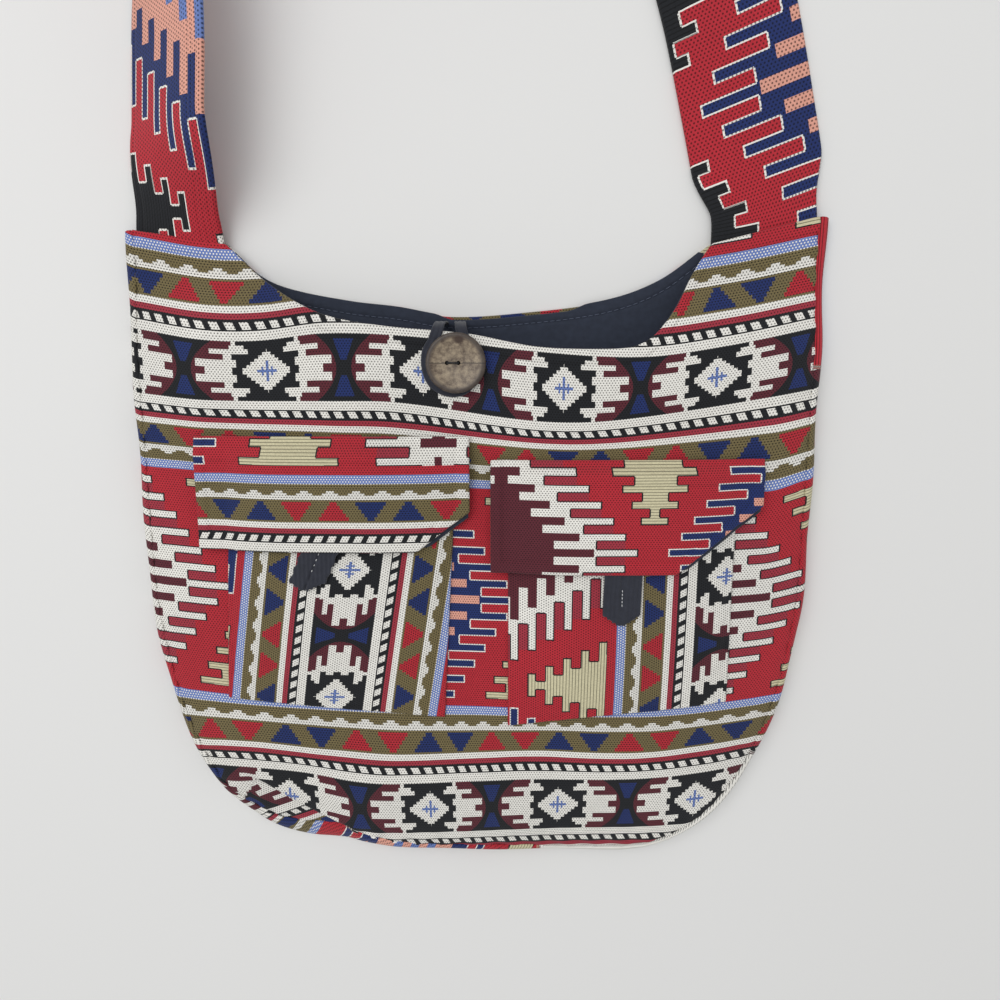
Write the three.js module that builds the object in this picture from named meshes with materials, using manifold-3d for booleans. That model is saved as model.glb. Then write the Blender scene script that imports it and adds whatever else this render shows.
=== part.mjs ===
import * as THREE from 'three';
import { mergeVertices } from 'three/addons/utils/BufferGeometryUtils.js';
import Module from 'manifold-3d';

const wasm = await Module();
wasm.setup();

// A woven shoulder bag lying on its back. X runs across it, Y from its bottom seam
// towards the strap, and Z up from the table to its front. Lengths are in millimetres.

// Cloth and clearances
const gap = 0.3;
const clothThickness = 1.5;
const liningThickness = 0.6;

// Body outline, measured at the seams
const seamHalfWidth = 184;
const hornHeight = 351;
const cornerWidth = 97;
const cornerHeight = 185;
const cornerPower = 2.15;

// Horns that carry the strap
const leftHornWidth = 49;
const rightHornWidth = 57;
const leftHornRise = 7;
const rightHornRise = 14;

// Mouth edges: the deepest sag below the horns
const frontMouthSag = 56;
const backMouthSag = 38;

// Thickness of the filled-out bag
const crownHeight = 23;
const seamLevel = 13;
const bottomFall = 90;
const hornFallStart = hornHeight - 43;
const gussetBulge = 5;

// Soft folds of the front, measured down from the horns
const leftFold = { x: -160, width: 11, height: 1.6, bottom: 146, fullAt: 101, fadeAt: 61, top: 11 };
const rightFold = { x: 168, width: 12, height: 1.5, bottom: 136, fullAt: 91, fadeAt: 51, top: 6 };
const bottomFold = { y: 46, width: 12, height: 1.4 };

// Tucked corner at the bottom left
const tuckX = -92;
const tuckY = 4;
const tuckReach = 34;
const tuckDepth = 13;
const creaseDrop = 5;
const creaseStart = new THREE.Vector2(-133, 49);
const creaseEnd = new THREE.Vector2(-58, 2);

// Lining
const liningInset = 2.2;
const liningSlack = 1.2;
const hornSlack = 1.6;
const liningGap = 0.6;

// Strap
const strapWidth = 68;
const strapThickness = 3.7;
const strapInsert = 13;
const strapReach = 439;
const strapStand = 86;
const leftTurnStart = 45;
const leftTurnEnd = 265;
const rightTurnStart = 150;
const rightTurnEnd = 330;

// Pockets
const pocketDepth = 6.5;
const leftPocket = { centre: -73, width: 124, bottom: 94, top: 235, lean: 8, slope: 10 };
const rightPocket = { centre: 80.5, width: 125, bottom: 90, top: 226, lean: 0, slope: -12 };

// Flaps
const flapWidth = 148.5;
const flapDrop = 61;
const flapClearance = 1;
const flapLiningInset = 1.5;
const flapGap = 0.5;
const leftFlap = { left: -152.5, above: 14, cutRun: 28, cutRise: 21, pocket: leftPocket };
const rightFlap = { left: 8.4, above: 10.4, cutRun: 48.5, cutRise: 36, pocket: rightPocket };

// Tape tabs at the flaps
const tabWidth = 19.5;
const tabThickness = 1.8;
const leftTab = { centre: -83, length: 22, lean: -11 };
const rightTab = { centre: 79.8, length: 29.5, lean: 0 };

// Button and its loop
const buttonRadius = 15.8;
const buttonThickness = 4.5;
const buttonX = -10.2;
const buttonDrop = 15.4;
const holeRadius = 1.1;
const holeSpacing = 6;
const holeOffset = -1.6;
const threadRadius = 0.7;
const tapeWidth = 5;
const tapeThickness = 1;

// Grid steps of the cloth
const panelColumns = 30;
const panelRows = 20;
const liningColumns = 30;
const liningRows = 16;
const pocketColumns = 14;
const pocketRows = 12;
const flapColumns = 15;
const flapRows = 8;

function clamp01(value) {
  return Math.min(1, Math.max(0, value));
}

function ease(from, to, value) {
  const t = clamp01((value - from) / (to - from));
  return t * t * (3 - 2 * t);
}

// A closed piece of cloth between two grids of points. across and along run from 0 to 1.
function clothBetween(columns, rows, facePoint, backPoint) {
  const positions = [];
  const indices = [];
  const layerSize = (columns + 1) * (rows + 1);
  for (const layer of [facePoint, backPoint]) {
    for (let row = 0; row <= rows; row += 1) {
      for (let column = 0; column <= columns; column += 1) {
        positions.push(...layer(column / columns, row / rows).toArray());
      }
    }
  }
  const face = (column, row) => row * (columns + 1) + column;
  const back = (column, row) => layerSize + face(column, row);
  const quad = (a, b, c, d) => indices.push(a, b, c, a, c, d);
  for (let row = 0; row < rows; row += 1) {
    for (let column = 0; column < columns; column += 1) {
      quad(face(column, row), face(column + 1, row), face(column + 1, row + 1), face(column, row + 1));
      quad(back(column, row), back(column, row + 1), back(column + 1, row + 1), back(column + 1, row));
    }
  }
  for (let column = 0; column < columns; column += 1) {
    quad(face(column + 1, 0), face(column, 0), back(column, 0), back(column + 1, 0));
    quad(face(column, rows), face(column + 1, rows), back(column + 1, rows), back(column, rows));
  }
  for (let row = 0; row < rows; row += 1) {
    quad(face(0, row), face(0, row + 1), back(0, row + 1), back(0, row));
    quad(face(columns, row + 1), face(columns, row), back(columns, row), back(columns, row + 1));
  }
  const geometry = new THREE.BufferGeometry();
  geometry.setAttribute('position', new THREE.Float32BufferAttribute(positions, 3));
  geometry.setIndex(volumeOf(positions, indices) < 0 ? indices.reverse() : indices);
  geometry.computeVertexNormals();
  return geometry;
}

function volumeOf(positions, indices) {
  const corner = (index) => new THREE.Vector3().fromArray(positions, index * 3);
  let volume = 0;
  for (let i = 0; i < indices.length; i += 3) {
    const [a, b, c] = [corner(indices[i]), corner(indices[i + 1]), corner(indices[i + 2])];
    volume += a.dot(b.cross(c)) / 6;
  }
  return volume;
}

// Half the bag's width between the seams, at a height above the bottom seam
function seamReach(y) {
  if (y >= cornerHeight) return seamHalfWidth;
  const fall = clamp01((cornerHeight - y) / cornerHeight);
  const rounded = (1 - fall ** cornerPower) ** (1 / cornerPower);
  return seamHalfWidth - cornerWidth * (1 - rounded);
}

// Mouth edges as shares of the way between the horns and of the sag
const frontMouthShape = [
  [0, 0], [0.08, 0.34], [0.2, 0.66], [0.32, 0.78], [0.5, 0.86], [0.64, 0.98], [0.78, 1],
  [0.84, 0.97], [0.88, 0.86], [0.92, 0.62], [0.96, 0.3], [1, 0],
];
const backMouthShape = [
  [0, 0], [0.1, 0.4], [0.25, 0.8], [0.35, 0.88], [0.46, 1], [0.62, 0.94], [0.79, 0.78], [0.9, 0.5], [1, 0],
];

function shapeValue(shape, share) {
  let k = 0;
  while (k < shape.length - 2 && share > shape[k + 1][0]) k += 1;
  const [x0, y0] = shape[k];
  const [x1, y1] = shape[k + 1];
  const slopeAt = (i) => {
    const before = shape[Math.max(i - 1, 0)];
    const after = shape[Math.min(i + 1, shape.length - 1)];
    return (after[1] - before[1]) / (after[0] - before[0]);
  };
  const t = clamp01((share - x0) / (x1 - x0));
  const span = x1 - x0;
  return (2 * t ** 3 - 3 * t ** 2 + 1) * y0 + (t ** 3 - 2 * t ** 2 + t) * span * slopeAt(k)
    + (-2 * t ** 3 + 3 * t ** 2) * y1 + (t ** 3 - t ** 2) * span * slopeAt(k + 1);
}

const leftHornInner = -seamHalfWidth + leftHornWidth;
const rightHornInner = seamHalfWidth - rightHornWidth;

function mouthHeight(x, shape, sag) {
  if (x < leftHornInner) return hornHeight + leftHornRise * (leftHornInner - x) / leftHornWidth;
  if (x > rightHornInner) return hornHeight + rightHornRise * (x - rightHornInner) / rightHornWidth;
  const share = (x - leftHornInner) / (rightHornInner - leftHornInner);
  return hornHeight - sag * shapeValue(shape, share);
}

const frontMouth = (x) => mouthHeight(x, frontMouthShape, frontMouthSag);
const backMouth = (x) => mouthHeight(x, backMouthShape, backMouthSag);
const buttonY = frontMouth(buttonX) - buttonDrop;

// The bottom left corner is tucked in: its seam is drawn up and inward
function tuck(point) {
  const away = Math.hypot(point.x - tuckX, point.y - tuckY) / tuckReach;
  const pull = tuckDepth * Math.exp(-away * away);
  return new THREE.Vector2(point.x + 0.3 * pull, point.y + 0.95 * pull);
}

// How far a point lies below the crease of the tucked corner, from 0 to 1
function belowCrease(x, y) {
  const along = creaseEnd.clone().sub(creaseStart);
  const length = along.length();
  along.normalize();
  const offset = new THREE.Vector2(x, y).sub(creaseStart);
  const distance = offset.x * along.y - offset.y * along.x;
  const travel = offset.dot(along);
  return ease(0, 5, distance) * ease(-12, 18, travel) * (1 - ease(length - 25, length, travel));
}

// Broad soft folds of the front: one down the left side, one from the right horn, one above the pockets
function softFolds(x, y) {
  const fromHorn = hornHeight - y;
  const sideFold = (fold, middle) => fold.height * Math.exp(-(((x - middle) / fold.width) ** 2))
    * (1 - ease(fold.fullAt, fold.bottom, fromHorn)) * ease(fold.top, fold.fadeAt, fromHorn);
  const fromBottomFold = (y - bottomFold.y - 0.06 * x) / bottomFold.width;
  const acrossBottom = bottomFold.height * Math.exp(-(fromBottomFold ** 2));
  const withinSides = 1 - clamp01(Math.abs(x) / (0.82 * seamHalfWidth)) ** 4;
  const rightMiddle = rightFold.x - 0.12 * (rightFold.fullAt - fromHorn);
  return sideFold(leftFold, leftFold.x + 0.05 * y) + sideFold(rightFold, rightMiddle)
    + acrossBottom * withinSides;
}

const hornLevel = 2 * clothThickness + strapThickness + 2 * gap;

// Height of the filled bag's front above the table, without its folds
function filledHeight(x, y) {
  const edge = THREE.MathUtils.lerp(seamLevel, hornLevel, ease(hornFallStart - 15, hornHeight - 12, y));
  const across = 1 - clamp01(Math.abs(x) / seamReach(Math.max(y, 0))) ** 4;
  const up = 1 - (1 - clamp01(y / bottomFall)) ** 3;
  const beforeHorn = 1 - ease(hornFallStart, hornHeight - 10, y);
  return edge + (crownHeight - edge) * across * up * beforeHorn;
}

// Height of the front panel's outer face
function frontHeight(x, y) {
  return filledHeight(x, y) + softFolds(x, y) - creaseDrop * belowCrease(x, y);
}

// Rows lie closer together near the bottom seam and near the mouth
function rowShare(along) {
  return along - 0.78 * Math.sin(2 * Math.PI * along) / (2 * Math.PI);
}

function outlinePoint(across, along, inset, mouth) {
  const topX = (2 * across - 1) * (seamHalfWidth - inset);
  const y = inset + (mouth(topX) - inset) * rowShare(along);
  const x = (2 * across - 1) * (seamReach(y - inset) - inset);
  return new THREE.Vector2(x, y);
}

function cloth(name, geometry, colour, roughness = 0.9) {
  const material = new THREE.MeshStandardMaterial({ color: colour, roughness, metalness: 0 });
  const mesh = new THREE.Mesh(geometry, material);
  mesh.name = name;
  return mesh;
}

const wovenRed = 0xb23a44;
const wovenCream = 0xd8cfae;
const darkCotton = 0x2a2e38;

function frontPanel() {
  const layer = (depth) => (across, along) => {
    const flat = outlinePoint(across, along, 0, frontMouth);
    const placed = tuck(flat);
    return new THREE.Vector3(placed.x, placed.y, frontHeight(placed.x, placed.y) - depth);
  };
  const geometry = clothBetween(panelColumns, panelRows, layer(0), layer(clothThickness));
  return cloth('front_panel', geometry, wovenRed);
}

// A flat panel with the bag's outline, lying at a level
function flatPanel(columns, rows, inset, mouth, thickness, level) {
  const edge = seamStations(columns, rows, inset, mouth).map((station) => station.point);
  for (let column = columns - 1; column > 0; column -= 1) {
    edge.push(outlinePoint(column / columns, 1, inset, mouth));
  }
  const geometry = new THREE.ExtrudeGeometry(new THREE.Shape(edge), { depth: thickness, bevelEnabled: false });
  return geometry.translate(0, 0, level);
}

function backPanel() {
  return cloth('back_panel', flatPanel(panelColumns, panelRows, 0, backMouth, clothThickness, 0), wovenRed);
}

// Points round the sides and the bottom, from the left horn to the right, with their outward directions
function seamStations(columns, rows, inset, mouth) {
  const points = [];
  for (let row = rows; row > 0; row -= 1) points.push(outlinePoint(0, row / rows, inset, mouth));
  for (let column = 0; column <= columns; column += 1) {
    points.push(outlinePoint(column / columns, 0, inset, mouth));
  }
  for (let row = 1; row <= rows; row += 1) points.push(outlinePoint(1, row / rows, inset, mouth));
  return points.map((point, k) => {
    const before = points[Math.max(k - 1, 0)];
    const after = points[Math.min(k + 1, points.length - 1)];
    const along = after.clone().sub(before).normalize();
    return { point, outward: new THREE.Vector2(along.y, -along.x) };
  });
}

// A strip that joins the edges of two panels and bulges outward between them
function joiningStrip(stations, steps, thickness, bulge, topLevel, bottomLevel) {
  const layer = (depth) => (across, along) => {
    const { point, outward } = stations[Math.round(across * (stations.length - 1))];
    const angle = Math.PI * along;
    const drawnIn = tuck(point).sub(point).multiplyScalar((1 + Math.cos(angle)) / 2);
    const top = topLevel(tuck(point));
    const middle = (top + bottomLevel) / 2;
    const halfHeight = (top - bottomLevel) / 2 - depth;
    const reach = gap + (bulge - depth) * Math.sin(angle);
    const placed = point.clone().add(drawnIn).addScaledVector(outward, reach);
    return new THREE.Vector3(placed.x, placed.y, middle + halfHeight * Math.cos(angle));
  };
  return clothBetween(stations.length - 1, steps, layer(0), layer(thickness));
}

function gusset() {
  const stations = seamStations(panelColumns, panelRows, 0, frontMouth);
  const topLevel = (point) => frontHeight(point.x, point.y);
  return cloth('gusset', joiningStrip(stations, 5, clothThickness, gussetBulge, topLevel, 0), wovenRed);
}

const liningMouth = (mouth) => (x) => Math.min(mouth(x), hornHeight - strapInsert - 2);
const liningBackLevel = clothThickness + gap + liningThickness;

// The lining hangs a little slack under the front, and close to it at the mouth
function liningFrontLevel(x, y) {
  const inBody = liningSlack * (1 - ease(hornFallStart - 58, hornFallStart - 18, y));
  const inHorns = hornSlack * ease(hornFallStart - 14, hornFallStart + 4, y);
  const drop = creaseDrop * belowCrease(x - 6, y - 8);
  return filledHeight(x, y) - drop - clothThickness - liningGap - inBody - inHorns;
}

function liningFront() {
  const mouth = liningMouth(frontMouth);
  const layer = (depth) => (across, along) => {
    const placed = tuck(outlinePoint(across, along, liningInset, mouth));
    return new THREE.Vector3(placed.x, placed.y, liningFrontLevel(placed.x, placed.y) - depth);
  };
  const geometry = clothBetween(liningColumns, liningRows, layer(0), layer(liningThickness));
  return cloth('lining_front', geometry, darkCotton);
}

function liningBack() {
  const level = liningBackLevel - liningThickness;
  const geometry = flatPanel(liningColumns, liningRows, liningInset, liningMouth(backMouth), liningThickness, level);
  return cloth('lining_back', geometry, darkCotton);
}

function liningGusset() {
  const stations = seamStations(liningColumns, liningRows, liningInset, liningMouth(frontMouth));
  const topLevel = (point) => liningFrontLevel(point.x, point.y);
  const bottomLevel = liningBackLevel - liningThickness;
  const geometry = joiningStrip(stations, 3, liningThickness, 1.2, topLevel, bottomLevel);
  return cloth('lining_gusset', geometry, darkCotton);
}

// Route of the strap's middle line over the table, from the left horn round to the right one
const leftStrapX = -seamHalfWidth + leftHornWidth / 2;
const rightStrapX = seamHalfWidth - rightHornWidth / 2;
const strapRoute = [
  [leftStrapX, hornHeight - strapInsert],
  [leftStrapX, hornHeight + 5],
  [leftStrapX + 1.5, hornHeight + 29],
  [leftStrapX + 5, hornHeight + 70],
  [leftStrapX + 8, hornHeight + 115],
  [leftStrapX + 10, hornHeight + 0.38 * strapReach],
  [leftStrapX + 11, hornHeight + 0.52 * strapReach],
  [leftStrapX + 14, hornHeight + 0.67 * strapReach],
  [leftStrapX + 30, hornHeight + 0.82 * strapReach],
  [leftStrapX + 66, hornHeight + 0.945 * strapReach],
  [leftStrapX + 122, hornHeight + strapReach],
  [rightStrapX - 132, hornHeight + 0.965 * strapReach],
  [rightStrapX - 88, hornHeight + 0.87 * strapReach],
  [rightStrapX - 66, hornHeight + 0.735 * strapReach],
  [rightStrapX - 55, hornHeight + 0.6 * strapReach],
  [rightStrapX - 44, hornHeight + 0.465 * strapReach],
  [rightStrapX - 33, hornHeight + 150],
  [rightStrapX - 22, hornHeight + 112],
  [rightStrapX - 12, hornHeight + 72],
  [rightStrapX - 4, hornHeight + 37],
  [rightStrapX, hornHeight + rightHornRise],
  [rightStrapX, hornHeight - strapInsert],
];
const strapSteps = 66;

// The strap lies flat at the horns and stands on its outer edge round the far bend
function strapSection(share, curve) {
  const length = curve.getLength();
  const travel = share * length;
  const toEnd = length - travel;
  const middle = curve.getPointAt(share);
  const heading = curve.getTangentAt(share);
  const turned = ease(leftTurnStart, leftTurnEnd, travel) * ease(rightTurnStart, rightTurnEnd, toEnd);
  const turn = turned * THREE.MathUtils.degToRad(strapStand);
  const leftStart = leftHornWidth - 2;
  const rightStart = rightHornWidth - 2;
  const leftSpread = ease(strapInsert + 12, strapInsert + 55, travel);
  const rightSpread = ease(strapInsert + 18, strapInsert + 45, toEnd);
  const leftWidth = THREE.MathUtils.lerp(leftStart, strapWidth, leftSpread);
  const rightWidth = THREE.MathUtils.lerp(rightStart, strapWidth, rightSpread);
  const width = Math.min(leftWidth, rightWidth);
  const inward = new THREE.Vector3(heading.y, -heading.x, 0);
  const upward = new THREE.Vector3(0, 0, 1);
  const widthways = inward.clone().multiplyScalar(Math.cos(turn)).addScaledVector(upward, Math.sin(turn));
  const faceways = upward.clone().multiplyScalar(Math.cos(turn)).addScaledVector(inward, -Math.sin(turn));
  const nearHorn = 1 - ease(strapInsert + 10, strapInsert + 50, Math.min(travel, toEnd));
  const level = strapThickness / 2 * Math.cos(turn) + width / 2 * Math.sin(turn)
    + (clothThickness + gap) * nearHorn;
  return { centre: new THREE.Vector3(middle.x, middle.y, level), widthways, faceways, width };
}

function strap() {
  const route = strapRoute.map(([x, y]) => new THREE.Vector3(x, y, 0));
  const curve = new THREE.CatmullRomCurve3(route, false, 'centripetal');
  curve.arcLengthDivisions = 800;
  const layer = (side) => (share, across) => {
    const section = strapSection(share, curve);
    const place = 2 * across - 1;
    const half = strapThickness / 2 * (1 - 0.45 * place ** 6);
    return section.centre.clone()
      .addScaledVector(section.widthways, place * section.width / 2)
      .addScaledVector(section.faceways, side * half);
  };
  return cloth('strap', clothBetween(strapSteps, 5, layer(1), layer(-1)), wovenRed);
}

function pocketPoint(pocket, across, along) {
  const x = pocket.centre + (across - 0.5) * pocket.width - pocket.lean * (1 - along);
  const y = pocket.bottom + (pocket.top - pocket.bottom) * along + pocket.slope * (0.5 - across) * (1 - along);
  return new THREE.Vector2(x, y);
}

// How far the pocket stands off the front panel under its cloth
function pocketLift(across, along) {
  const between = 1 - clamp01(Math.abs(2 * across - 1)) ** 3;
  const above = 1 - (1 - clamp01(along)) ** 3;
  return pocketDepth * between * above;
}

// Height of the pocket's outer face over the front panel at a place on the bag
function pocketCover(pocket, x, y) {
  const along = (y - pocket.bottom) / (pocket.top - pocket.bottom);
  const across = (x - pocket.centre + pocket.lean * (1 - along)) / pocket.width + 0.5;
  return gap + clothThickness + pocketLift(across, along);
}

function pocketCloth(name, pocket) {
  const layer = (depth) => (across, along) => {
    const flat = pocketPoint(pocket, across, along);
    const level = frontHeight(flat.x, flat.y) + gap + clothThickness + pocketLift(across, along);
    return new THREE.Vector3(flat.x, flat.y, level - depth);
  };
  return cloth(name, clothBetween(pocketColumns, pocketRows, layer(0), layer(clothThickness)), wovenCream);
}

function flapPoint(flap, across, along, inset) {
  const top = flap.pocket.top + flap.above;
  const x = flap.left + inset + (flapWidth - 2 * inset) * across;
  const fromCut = x - (flap.left + flapWidth - flap.cutRun);
  const drop = flapDrop - inset - Math.max(0, fromCut) * flap.cutRise / flap.cutRun;
  return new THREE.Vector2(x, top - drop * along);
}

// Lowest level of a flap, which is sewn down above the pocket's mouth and lies over the pocket
function flapLevel(flap, x, y) {
  const top = flap.pocket.top + flap.above;
  const over = ease(0, flap.above - 2, top - y);
  return frontHeight(x, y) + gap + over * (pocketCover(flap.pocket, x, y) + flapClearance);
}

function flapCloth(name, flap, inset, raise, thickness, colour) {
  const layer = (depth) => (across, along) => {
    const flat = flapPoint(flap, across, along, inset);
    return new THREE.Vector3(flat.x, flat.y, flapLevel(flap, flat.x, flat.y) + raise + thickness - depth);
  };
  return cloth(name, clothBetween(flapColumns, flapRows, layer(0), layer(thickness)), colour);
}

// A folded tape tab: two legs side by side that meet in a point below the flap
function tabCloth(name, tab, flap) {
  const root = flap.pocket.top + flap.above - flapDrop - gap;
  const layer = (depth) => (across, along) => {
    const narrow = 1 - 0.8 * ease(0.78, 1, along);
    const x = tab.centre + (across - 0.5) * tabWidth * narrow + tab.lean * along;
    const y = root - tab.length * along;
    const onPocket = frontHeight(x, y) + pocketCover(flap.pocket, x, y) + gap;
    const level = THREE.MathUtils.lerp(flapLevel(flap, x, root) + gap, onPocket, ease(0, 0.45, along));
    return new THREE.Vector3(x, y, level + tabThickness - depth);
  };
  return cloth(name, clothBetween(4, 8, layer(0), layer(tabThickness)), darkCotton);
}

// Closure loop: tape from the back's mouth edge, over the front's, round the button's shank
function closureLoop() {
  const mouthY = frontMouth(buttonX);
  const edgeY = backMouth(buttonX) - 3;
  const onFront = (x, y) => new THREE.Vector3(x, y, frontHeight(x, y) + gap + tapeThickness / 2);
  const rootLevel = liningBackLevel + gap + tapeThickness / 2;
  const leg = (x, step) => [
    new THREE.Vector3(x, edgeY, rootLevel),
    new THREE.Vector3(x, edgeY, 0.45 * crownHeight),
    new THREE.Vector3(x + step, edgeY - 0.6, 0.78 * crownHeight),
    new THREE.Vector3(x + 2 * step, mouthY + 2.2, crownHeight + 0.7),
  ];
  const route = [
    ...leg(buttonX - 7.8, -0.9),
    onFront(buttonX - 12, mouthY - 4),
    onFront(buttonX - 15, buttonY + 6),
    onFront(buttonX - 15.5, buttonY - 2),
    onFront(buttonX - 12.5, buttonY - 10),
    onFront(buttonX - 5, buttonY - 14.5),
    onFront(buttonX + 3, buttonY - 14),
    onFront(buttonX + 9, buttonY - 8),
    onFront(buttonX + 10.5, buttonY),
    onFront(buttonX + 8.5, buttonY + 8),
    onFront(buttonX + 5, mouthY - 4),
    ...leg(buttonX + 1.4, 0.7).reverse(),
  ];
  const curve = new THREE.CatmullRomCurve3(route, false, 'centripetal');
  const sections = 44;
  const heading = (share) => {
    const tangent = curve.getTangentAt(share);
    const upright = Math.abs(tangent.z) > 0.5;
    const towards = share < 0.5 ? -1 : 1;
    return upright ? new THREE.Vector3(0, towards, 0) : new THREE.Vector3(tangent.x, tangent.y, 0).normalize();
  };
  const layer = (side) => (share, across) => {
    const flatHeading = heading(share);
    const widthways = new THREE.Vector3(flatHeading.y, -flatHeading.x, 0);
    const faceways = widthways.clone().cross(curve.getTangentAt(share)).normalize();
    return curve.getPointAt(share)
      .addScaledVector(widthways, (across - 0.5) * tapeWidth)
      .addScaledVector(faceways, side * tapeThickness / 2);
  };
  return cloth('closure_loop', clothBetween(sections, 2, layer(1), layer(-1)), darkCotton);
}

function toManifold(geometry) {
  const bare = geometry.clone();
  bare.deleteAttribute('normal');
  bare.deleteAttribute('uv');
  const merged = mergeVertices(bare, 1e-4);
  const mesh = new wasm.Mesh({
    numProp: 3,
    vertProperties: new Float32Array(merged.attributes.position.array),
    triVerts: new Uint32Array(merged.index.array),
  });
  return new wasm.Manifold(mesh);
}

function fromManifold(solid) {
  const mesh = solid.getMesh();
  const geometry = new THREE.BufferGeometry();
  geometry.setAttribute('position', new THREE.Float32BufferAttribute(mesh.vertProperties, 3));
  geometry.setIndex([...mesh.triVerts]);
  geometry.computeVertexNormals();
  return geometry;
}

const buttonLevel = frontHeight(buttonX, buttonY) + gap + tapeThickness + gap;

function woodButton() {
  const rim = 1.6;
  const profile = [new THREE.Vector2(0, 0)];
  for (let step = 0; step <= 4; step += 1) {
    const angle = -Math.PI / 2 + step * Math.PI / 8;
    profile.push(new THREE.Vector2(buttonRadius - rim + rim * Math.cos(angle), rim + rim * Math.sin(angle)));
  }
  for (let step = 0; step <= 4; step += 1) {
    const angle = step * Math.PI / 8;
    const height = buttonThickness - rim + rim * Math.sin(angle);
    profile.push(new THREE.Vector2(buttonRadius - rim + rim * Math.cos(angle), height));
  }
  profile.push(new THREE.Vector2(0, buttonThickness - 0.4));
  let solid = toManifold(new THREE.LatheGeometry(profile, 40).rotateX(Math.PI / 2));
  for (const side of [-0.5, 0.5]) {
    const drill = new THREE.CylinderGeometry(holeRadius, holeRadius, 4 * buttonThickness, 14);
    drill.rotateX(Math.PI / 2).translate(holeOffset + side * holeSpacing, 0, 0);
    solid = solid.subtract(toManifold(drill));
  }
  const mesh = cloth('wood_button', fromManifold(solid), 0x6b5444, 0.6);
  mesh.position.set(buttonX, buttonY, buttonLevel);
  return mesh;
}

function buttonThread() {
  const shankHeight = buttonLevel - gap - (frontHeight(buttonX, buttonY) + gap);
  const shank = new THREE.CylinderGeometry(holeSpacing * 0.7, holeSpacing * 0.7, shankHeight, 16);
  shank.rotateX(Math.PI / 2).scale(1, 0.6, 1).translate(holeOffset, 0, -gap - shankHeight / 2);
  let solid = toManifold(shank);
  const top = buttonThickness + gap;
  for (const side of [-0.5, 0.5]) {
    const postHeight = top + threadRadius + gap + shankHeight / 2;
    const post = new THREE.CylinderGeometry(threadRadius, threadRadius, postHeight, 10).rotateX(Math.PI / 2);
    post.translate(holeOffset + side * holeSpacing, 0, top + threadRadius - postHeight / 2);
    solid = solid.add(toManifold(post));
  }
  const stitch = new THREE.CylinderGeometry(threadRadius, threadRadius, holeSpacing + threadRadius, 10);
  stitch.rotateZ(Math.PI / 2).translate(holeOffset, 0, top + threadRadius);
  solid = solid.add(toManifold(stitch));
  const mesh = cloth('button_thread', fromManifold(solid), 0x1c1c20);
  mesh.position.set(buttonX, buttonY, buttonLevel);
  return mesh;
}

const bag = new THREE.Group();
bag.add(frontPanel(), backPanel(), gusset());
bag.add(liningFront(), liningBack(), liningGusset());
bag.add(strap());
bag.add(pocketCloth('left_pocket', leftPocket), pocketCloth('right_pocket', rightPocket));
for (const [side, flap, tab] of [['left', leftFlap, leftTab], ['right', rightFlap, rightTab]]) {
  bag.add(flapCloth(`${side}_flap`, flap, 0, liningThickness + flapGap, clothThickness, wovenCream));
  bag.add(flapCloth(`${side}_flap_lining`, flap, flapLiningInset, 0, liningThickness, darkCotton));
  bag.add(tabCloth(`${side}_flap_loop`, tab, flap));
}
bag.add(closureLoop(), woodButton(), buttonThread());

// The origin is at the middle of the bag's footprint, on the table
const extent = new THREE.Box3().setFromObject(bag);
const middle = extent.getCenter(new THREE.Vector3());
bag.position.set(-middle.x, -middle.y, -extent.min.z);

export default bag;
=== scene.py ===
from functools import partialmethod
import math

import bpy
import bmesh
import numpy as np
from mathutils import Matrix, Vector, noise


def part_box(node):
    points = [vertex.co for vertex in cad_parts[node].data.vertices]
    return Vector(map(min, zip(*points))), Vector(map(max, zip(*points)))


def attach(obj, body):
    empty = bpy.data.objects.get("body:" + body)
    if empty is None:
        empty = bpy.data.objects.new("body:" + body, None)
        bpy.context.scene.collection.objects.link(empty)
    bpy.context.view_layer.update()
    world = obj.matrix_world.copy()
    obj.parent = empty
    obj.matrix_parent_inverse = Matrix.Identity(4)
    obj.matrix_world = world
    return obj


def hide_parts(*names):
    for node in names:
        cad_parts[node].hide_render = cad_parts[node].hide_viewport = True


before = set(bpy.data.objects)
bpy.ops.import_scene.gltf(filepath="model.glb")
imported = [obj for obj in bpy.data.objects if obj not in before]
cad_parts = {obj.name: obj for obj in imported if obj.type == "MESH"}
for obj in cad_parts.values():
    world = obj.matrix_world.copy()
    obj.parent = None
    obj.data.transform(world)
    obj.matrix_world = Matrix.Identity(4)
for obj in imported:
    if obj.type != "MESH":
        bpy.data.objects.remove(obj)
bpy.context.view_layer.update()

# ---- Camera: above the mouth of the bag, tipped a little towards its bottom. ----
camera_lens = 27.04
camera_tilt = -9.67
camera_place = (0.01331, -0.11057, 0.428)
camera_data = bpy.data.cameras.new("camera")
camera_data.lens = camera_lens
camera_data.sensor_width = 36
camera = bpy.data.objects.new("camera", camera_data)
camera.location = camera_place
camera.rotation_euler = (math.radians(camera_tilt), 0, 0)
bpy.context.scene.collection.objects.link(camera)
bpy.context.scene.camera = camera
bpy.context.scene.view_settings.view_transform = "Standard"

# ---- Floor and light: a pale floor, an even sky and one broad soft lamp to the upper left. ----
floor_size = 8.0
floor_level = -0.0003
floor_colour = (0.80, 0.80, 0.79, 1)
sky_strength = 0.62
lamp_power = 15.0
lamp_size = 1.4
lamp_place = (-0.7, 0.55, 1.6)


def new_material(name):
    """A material with its node tree and its shader."""
    material = bpy.data.materials.new(name)
    material.use_nodes = True
    return material, material.node_tree, material.node_tree.nodes["Principled BSDF"]


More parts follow.
